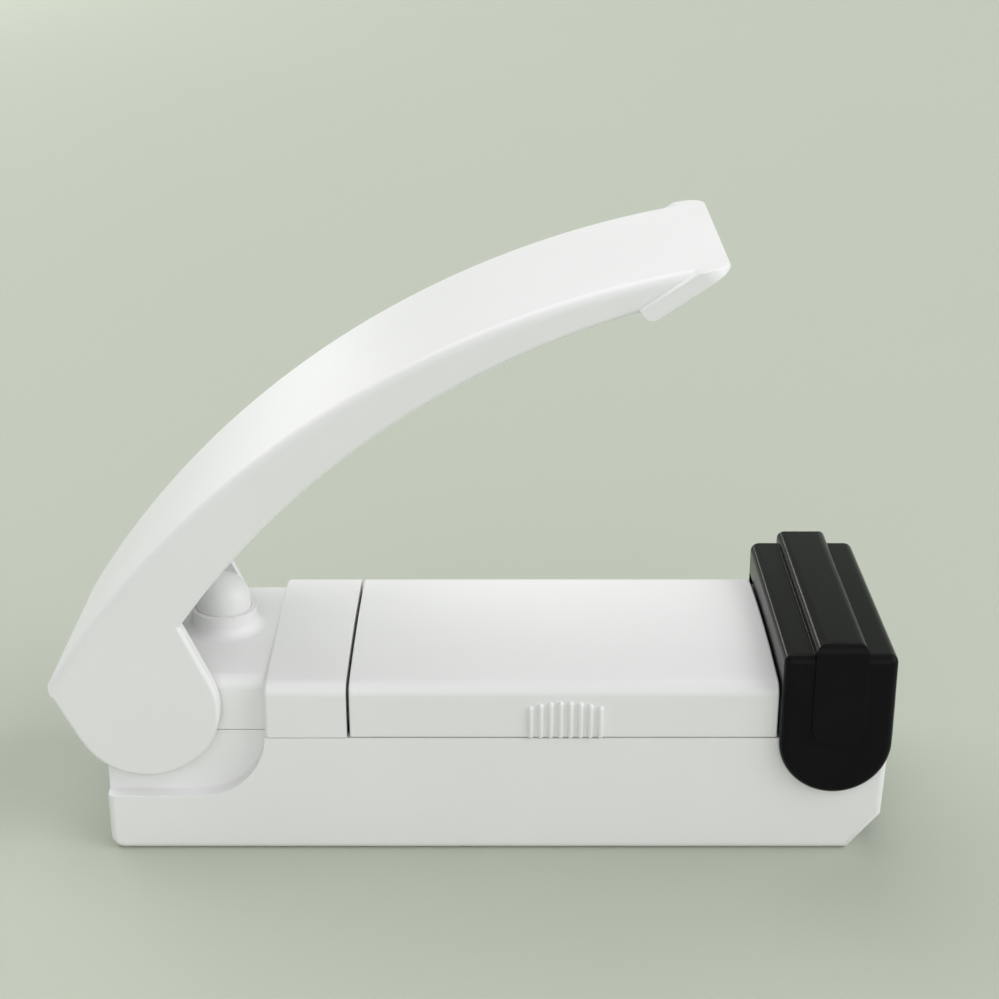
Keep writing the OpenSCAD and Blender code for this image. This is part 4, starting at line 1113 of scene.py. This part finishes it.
class MakeLeads(bpy.types.Operator):
    """Lays the three insulated leads between the contacts, the switch and the head"""
    bl_idname = "sealer.leads"
    bl_label = "Leads"
    diameter = 1.4 * MM
    # Millimetres: the leads' ends at the switch, the contacts and the terminals, and their run on the floor
    blade_x, blade_y, blade_z = -29.9, 2.57, 10.7
    tail_y, tail_z = 4, 5.1
    lug_y, lug_z = 11.6, 15.6
    run_z = 3.4

    def execute(self, context):
        wall, head = CASING_FRONT / MM, HEAD_LOW.x / MM
        blade_x, y, z, run = self.blade_x, self.tail_y, self.tail_z, self.run_z
        blade = (self.blade_y, self.blade_z)
        far_blade = (-self.blade_y, self.blade_z)
        screw = HEAD_SCREW_OUT / MM
        self.lay("red_lead", "red", "red_plastic", [
            (wall, -y, z), (wall - 4, -y, z), (blade_x + 5.5, *far_blade), (blade_x, *far_blade)])
        self.lay("link_lead", "red", "red_plastic", [
            (blade_x, *blade), (blade_x + 4.5, *blade), (wall - 5, 0, run), (head, 0, run),
            *self.into_head(-screw, -self.lug_y)])
        self.lay("black_lead", "black", "black_matte", [
            (wall + 0.5, y, z), (wall + 3.5, y, z), (wall + 7, y, run), (head - 2, y, run),
            *self.into_head(screw + 3.4, self.lug_y)])
        return {"FINISHED"}

    def into_head(self, bend_y, lug_y):
        """The last bends of a lead, past the head's screws and up to a terminal."""
        head, pivot, run = HEAD_LOW.x / MM, PIVOT.x / MM, self.run_z
        return [(head + 3, bend_y, run + 1), (head + 3.4, lug_y, run + 5),
                (pivot, lug_y, self.lug_z - 5), (pivot, lug_y, self.lug_z)]

    def lay(self, node, colour, slot, route):
        """One lead along its route, with rounded bends."""
        points = [Vector(p) * MM for p in route]
        for _ in range(3):
            points = cut_corners(points)
        lead = wire(f"{node}_wire", points, self.diameter, 16)
        settle(lead, "base", f"{colour}_insulation", slot, node)


class MakeCells(bpy.types.Operator):
    """Models the two cells with their stud ends and rolled rims"""
    bl_idname = "sealer.cells"
    bl_label = "Cells"
    corner, stud_radius, stud_height, groove = 0.5 * MM, 2.75 * MM, MM, 0.3 * MM
    # How far the bends at the flat end and at the stud's end lie inside the rim
    flat_in = (1.6 * MM, 1.3 * MM, MM)
    stud_in, stud_room = (1.2 * MM, 1.5 * MM), 0.4 * MM

    def execute(self, context):
        for node, turned in (("cell_left", False), ("cell_right", True)):
            low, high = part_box(node)
            y, z = (low.y + high.y) / 2, (low.z + high.z) / 2
            profile = self.profile((high.y - low.y) / 2, high.x - low.x)
            cell = spun(f"{node}_body", profile, 0, 0, 48)
            with editing(cell):
                mesh = bmesh.from_edit_mesh(cell.data)
                for point in mesh.verts:
                    aside, up, h = point.co
                    point.co = (high.x - h, y - aside, z + up) if turned else (low.x + h, y + aside, z + up)
                bmesh.update_edit_mesh(cell.data)
            shade(cell)
            settle(cell, "base", "cell_sleeve", "cell", node)
        return {"FINISHED"}

    def profile(self, r, reach):
        """Radii and heights of a cell from its flat end to its stud."""
        e, stud, dip = self.corner, self.stud_radius, self.groove
        shoulder = reach - self.stud_height
        flat, rim, well = self.flat_in, r - self.stud_in[0], r - self.stud_in[1]
        points = [(0, 0), (r - flat[0], 0), (r - flat[1], dip), (r - flat[2], 0)]
        points += arc((r - e, e), e, -90, 0, 4) + arc((r - e, shoulder - e), e, 0, 90, 4)
        points += [(rim, shoulder), (well, shoulder - dip), (stud + self.stud_room, shoulder - dip)]
        return points + [(stud, shoulder), (stud, reach - dip), (stud - dip, reach), (0, reach)]


class FinishInner(bpy.types.Operator):
    """Gives the inner solids that stay their finishes"""
    bl_idname = "sealer.inner"
    bl_label = "Inner pieces"
    finish_of = {
        "heater_strip": "heating_ribbon", "heater_tape": "glass_cloth", "heater_terminals": "brass_plate",
        "terminal_screws": "bright_steel", "arm_hinge_pin": "bright_steel", "switch_body": "matt_black",
        "switch_plunger": "red_insulation", "switch_blades": "brass_plate", "battery_tray": "white_moulding",
        "negative_contact": "bright_steel", "positive_contact": "bright_steel",
        "bridge_contact": "bright_steel", "case_screws": "bright_steel",
    }

    def execute(self, context):
        for node, finish in self.finish_of.items():
            mesh = frame["nodes"][node].data
            mesh.materials.clear()
            mesh.materials.append(finishes()[finish])
        return {"FINISHED"}


class MakeStage(bpy.types.Operator):
    """Lays the pale floor, hangs the soft lights and sets the camera"""
    bl_idname = "sealer.stage"
    bl_label = "Stage"
    floor_radius, floor_z = 4, -0.02 * MM
    backdrop = 1.18  # Brings the colour beyond the floor's edge up to that of the lit floor
    spread = math.radians(60)
    # Side that each broad light comes from, and its share of the key's strength
    broad = {
        "rear_key": ((-0.35, 0.42, 0.84), 1.26),
        "right_key": ((0.8, -0.22, 0.55), 1.5),
        "front_fill": ((-0.1, -0.9, 0.4), 0.66),
    }
    strip_place, strip_aim = Vector((-0.5, 0.9, 0.2)), Vector((0.03, 0, 0.02))
    strip_size, strip_power = (0.3, 0.06), 0.55

    def execute(self, context):
        s = context.scene.sealer_stage
        scene = context.scene
        scene.view_settings.view_transform = "Standard"
        self.lay_floor(s)
        self.fill_world(scene, s)
        for name, (side, share) in self.broad.items():
            lamp = self.lamp(name, "SUN", -Vector(side), share * s.key)
            lamp.data.angle = self.spread
        strip = self.lamp("rear_strip", "AREA", self.strip_aim - self.strip_place, self.strip_power)
        strip.data.shape = "RECTANGLE"
        strip.data.size, strip.data.size_y = self.strip_size
        strip.location = self.strip_place
        strip.visible_camera = False
        camera = bpy.data.objects.new("camera", bpy.data.cameras.new("camera"))
        scene.collection.objects.link(camera)
        camera.location = s.camera_place
        camera.rotation_euler = (math.pi / 2 - s.camera_pitch, 0, 0)
        camera.data.sensor_width = 36
        camera.data.lens = s.lens
        camera.data.clip_start = 0.01
        scene.camera = camera
        return {"FINISHED"}

    def lay_floor(self, s):
        """A wide round floor with faint clouds."""
        deselect()
        bpy.ops.mesh.primitive_circle_add(
            vertices=96, radius=self.floor_radius, fill_type="NGON", location=(0, 0, self.floor_z))
        floor = bpy.context.object
        floor.name = "floor"
        f = Finish("pale_floor")
        cloud = f.noise(scale=6)
        f.give(Base_Color=f.tone(cloud, s.floor, dark=0.985, light=1.01), Roughness=0.7 + 0.1 * cloud,
               Specular_IOR_Level=0.2)
        floor.data.materials.append(f.material)

    def fill_world(self, scene, s):
        """Even pale light, with the floor's colour beyond its edge."""
        scene.world = bpy.data.worlds.new("studio")
        scene.world.use_nodes = True
        n = Nodes(scene.world.node_tree)
        rays = n.node("ShaderNodeLightPath").socket.node.outputs
        camera, glossy, through = [Flow(n, rays[f"Is {kind} Ray"])
                                   for kind in ("Camera", "Glossy", "Transmission")]
        seen = n.maths("MAXIMUM", n.maths("MAXIMUM", camera, glossy), through)
        light = n.node("ShaderNodeBackground", None, {"Color": (1.0, 1.0, 1.0, 1.0), "Strength": s.sky})
        beyond = n.node("ShaderNodeBackground", None, {"Color": shaded(s.floor, self.backdrop)})
        mix = n.node("ShaderNodeMixShader", None, {0: seen, 1: light, 2: beyond})
        n.node("ShaderNodeOutputWorld", None, {"Surface": mix})

    def lamp(self, name, kind, way, power):
        """A light that shines one way."""
        data = bpy.data.lights.new(name, kind)
        data.energy = power
        lamp = bpy.data.objects.new(name, data)
        bpy.context.scene.collection.objects.link(lamp)
        lamp.rotation_euler = way.to_track_quat("-Z", "Y").to_euler()
        return lamp


class SealerPanel(bpy.types.Panel):
    """Lists the modelling steps and their sizes"""
    bl_idname = "VIEW3D_PT_sealer"
    bl_label = "Bag sealer"
    bl_space_type = "VIEW_3D"
    bl_region_type = "UI"
    bl_category = "Sealer"

    def draw(self, context):
        for step in STEPS:
            self.layout.operator(step.bl_idname)
        for group in GROUPS:
            box = self.layout.box()
            settings = getattr(context.scene, group)
            for name in settings.bl_rna.properties.keys():
                if name not in {"rna_type", "name"}:
                    box.prop(settings, name)


STEPS = (MakeStage, MakeBase, MakeCasing, MakeCover, MakeLever, MakeCap, MakeHead, MakeButton, MakeSprings,
         MakeLeads, MakeCells, FinishInner)
GROUPS = {"sealer_shell": ShellSizes, "sealer_lever": LeverSizes, "sealer_cap": CapSizes,
          "sealer_colours": FinishColours, "sealer_stage": StageLook}
CLASSES = (*GROUPS.values(), *STEPS, SealerPanel)


def register():
    for cls in CLASSES:
        bpy.utils.register_class(cls)
    for name, group in GROUPS.items():
        setattr(bpy.types.Scene, name, PointerProperty(type=group))


def unregister():
    for name in GROUPS:
        delattr(bpy.types.Scene, name)
    for cls in reversed(CLASSES):
        bpy.utils.unregister_class(cls)


def main():
    register()
    for step in STEPS:
        group, name = step.bl_idname.split(".")
        getattr(getattr(bpy.ops, group), name)()
    deselect()


if __name__ == "__main__":
    main()
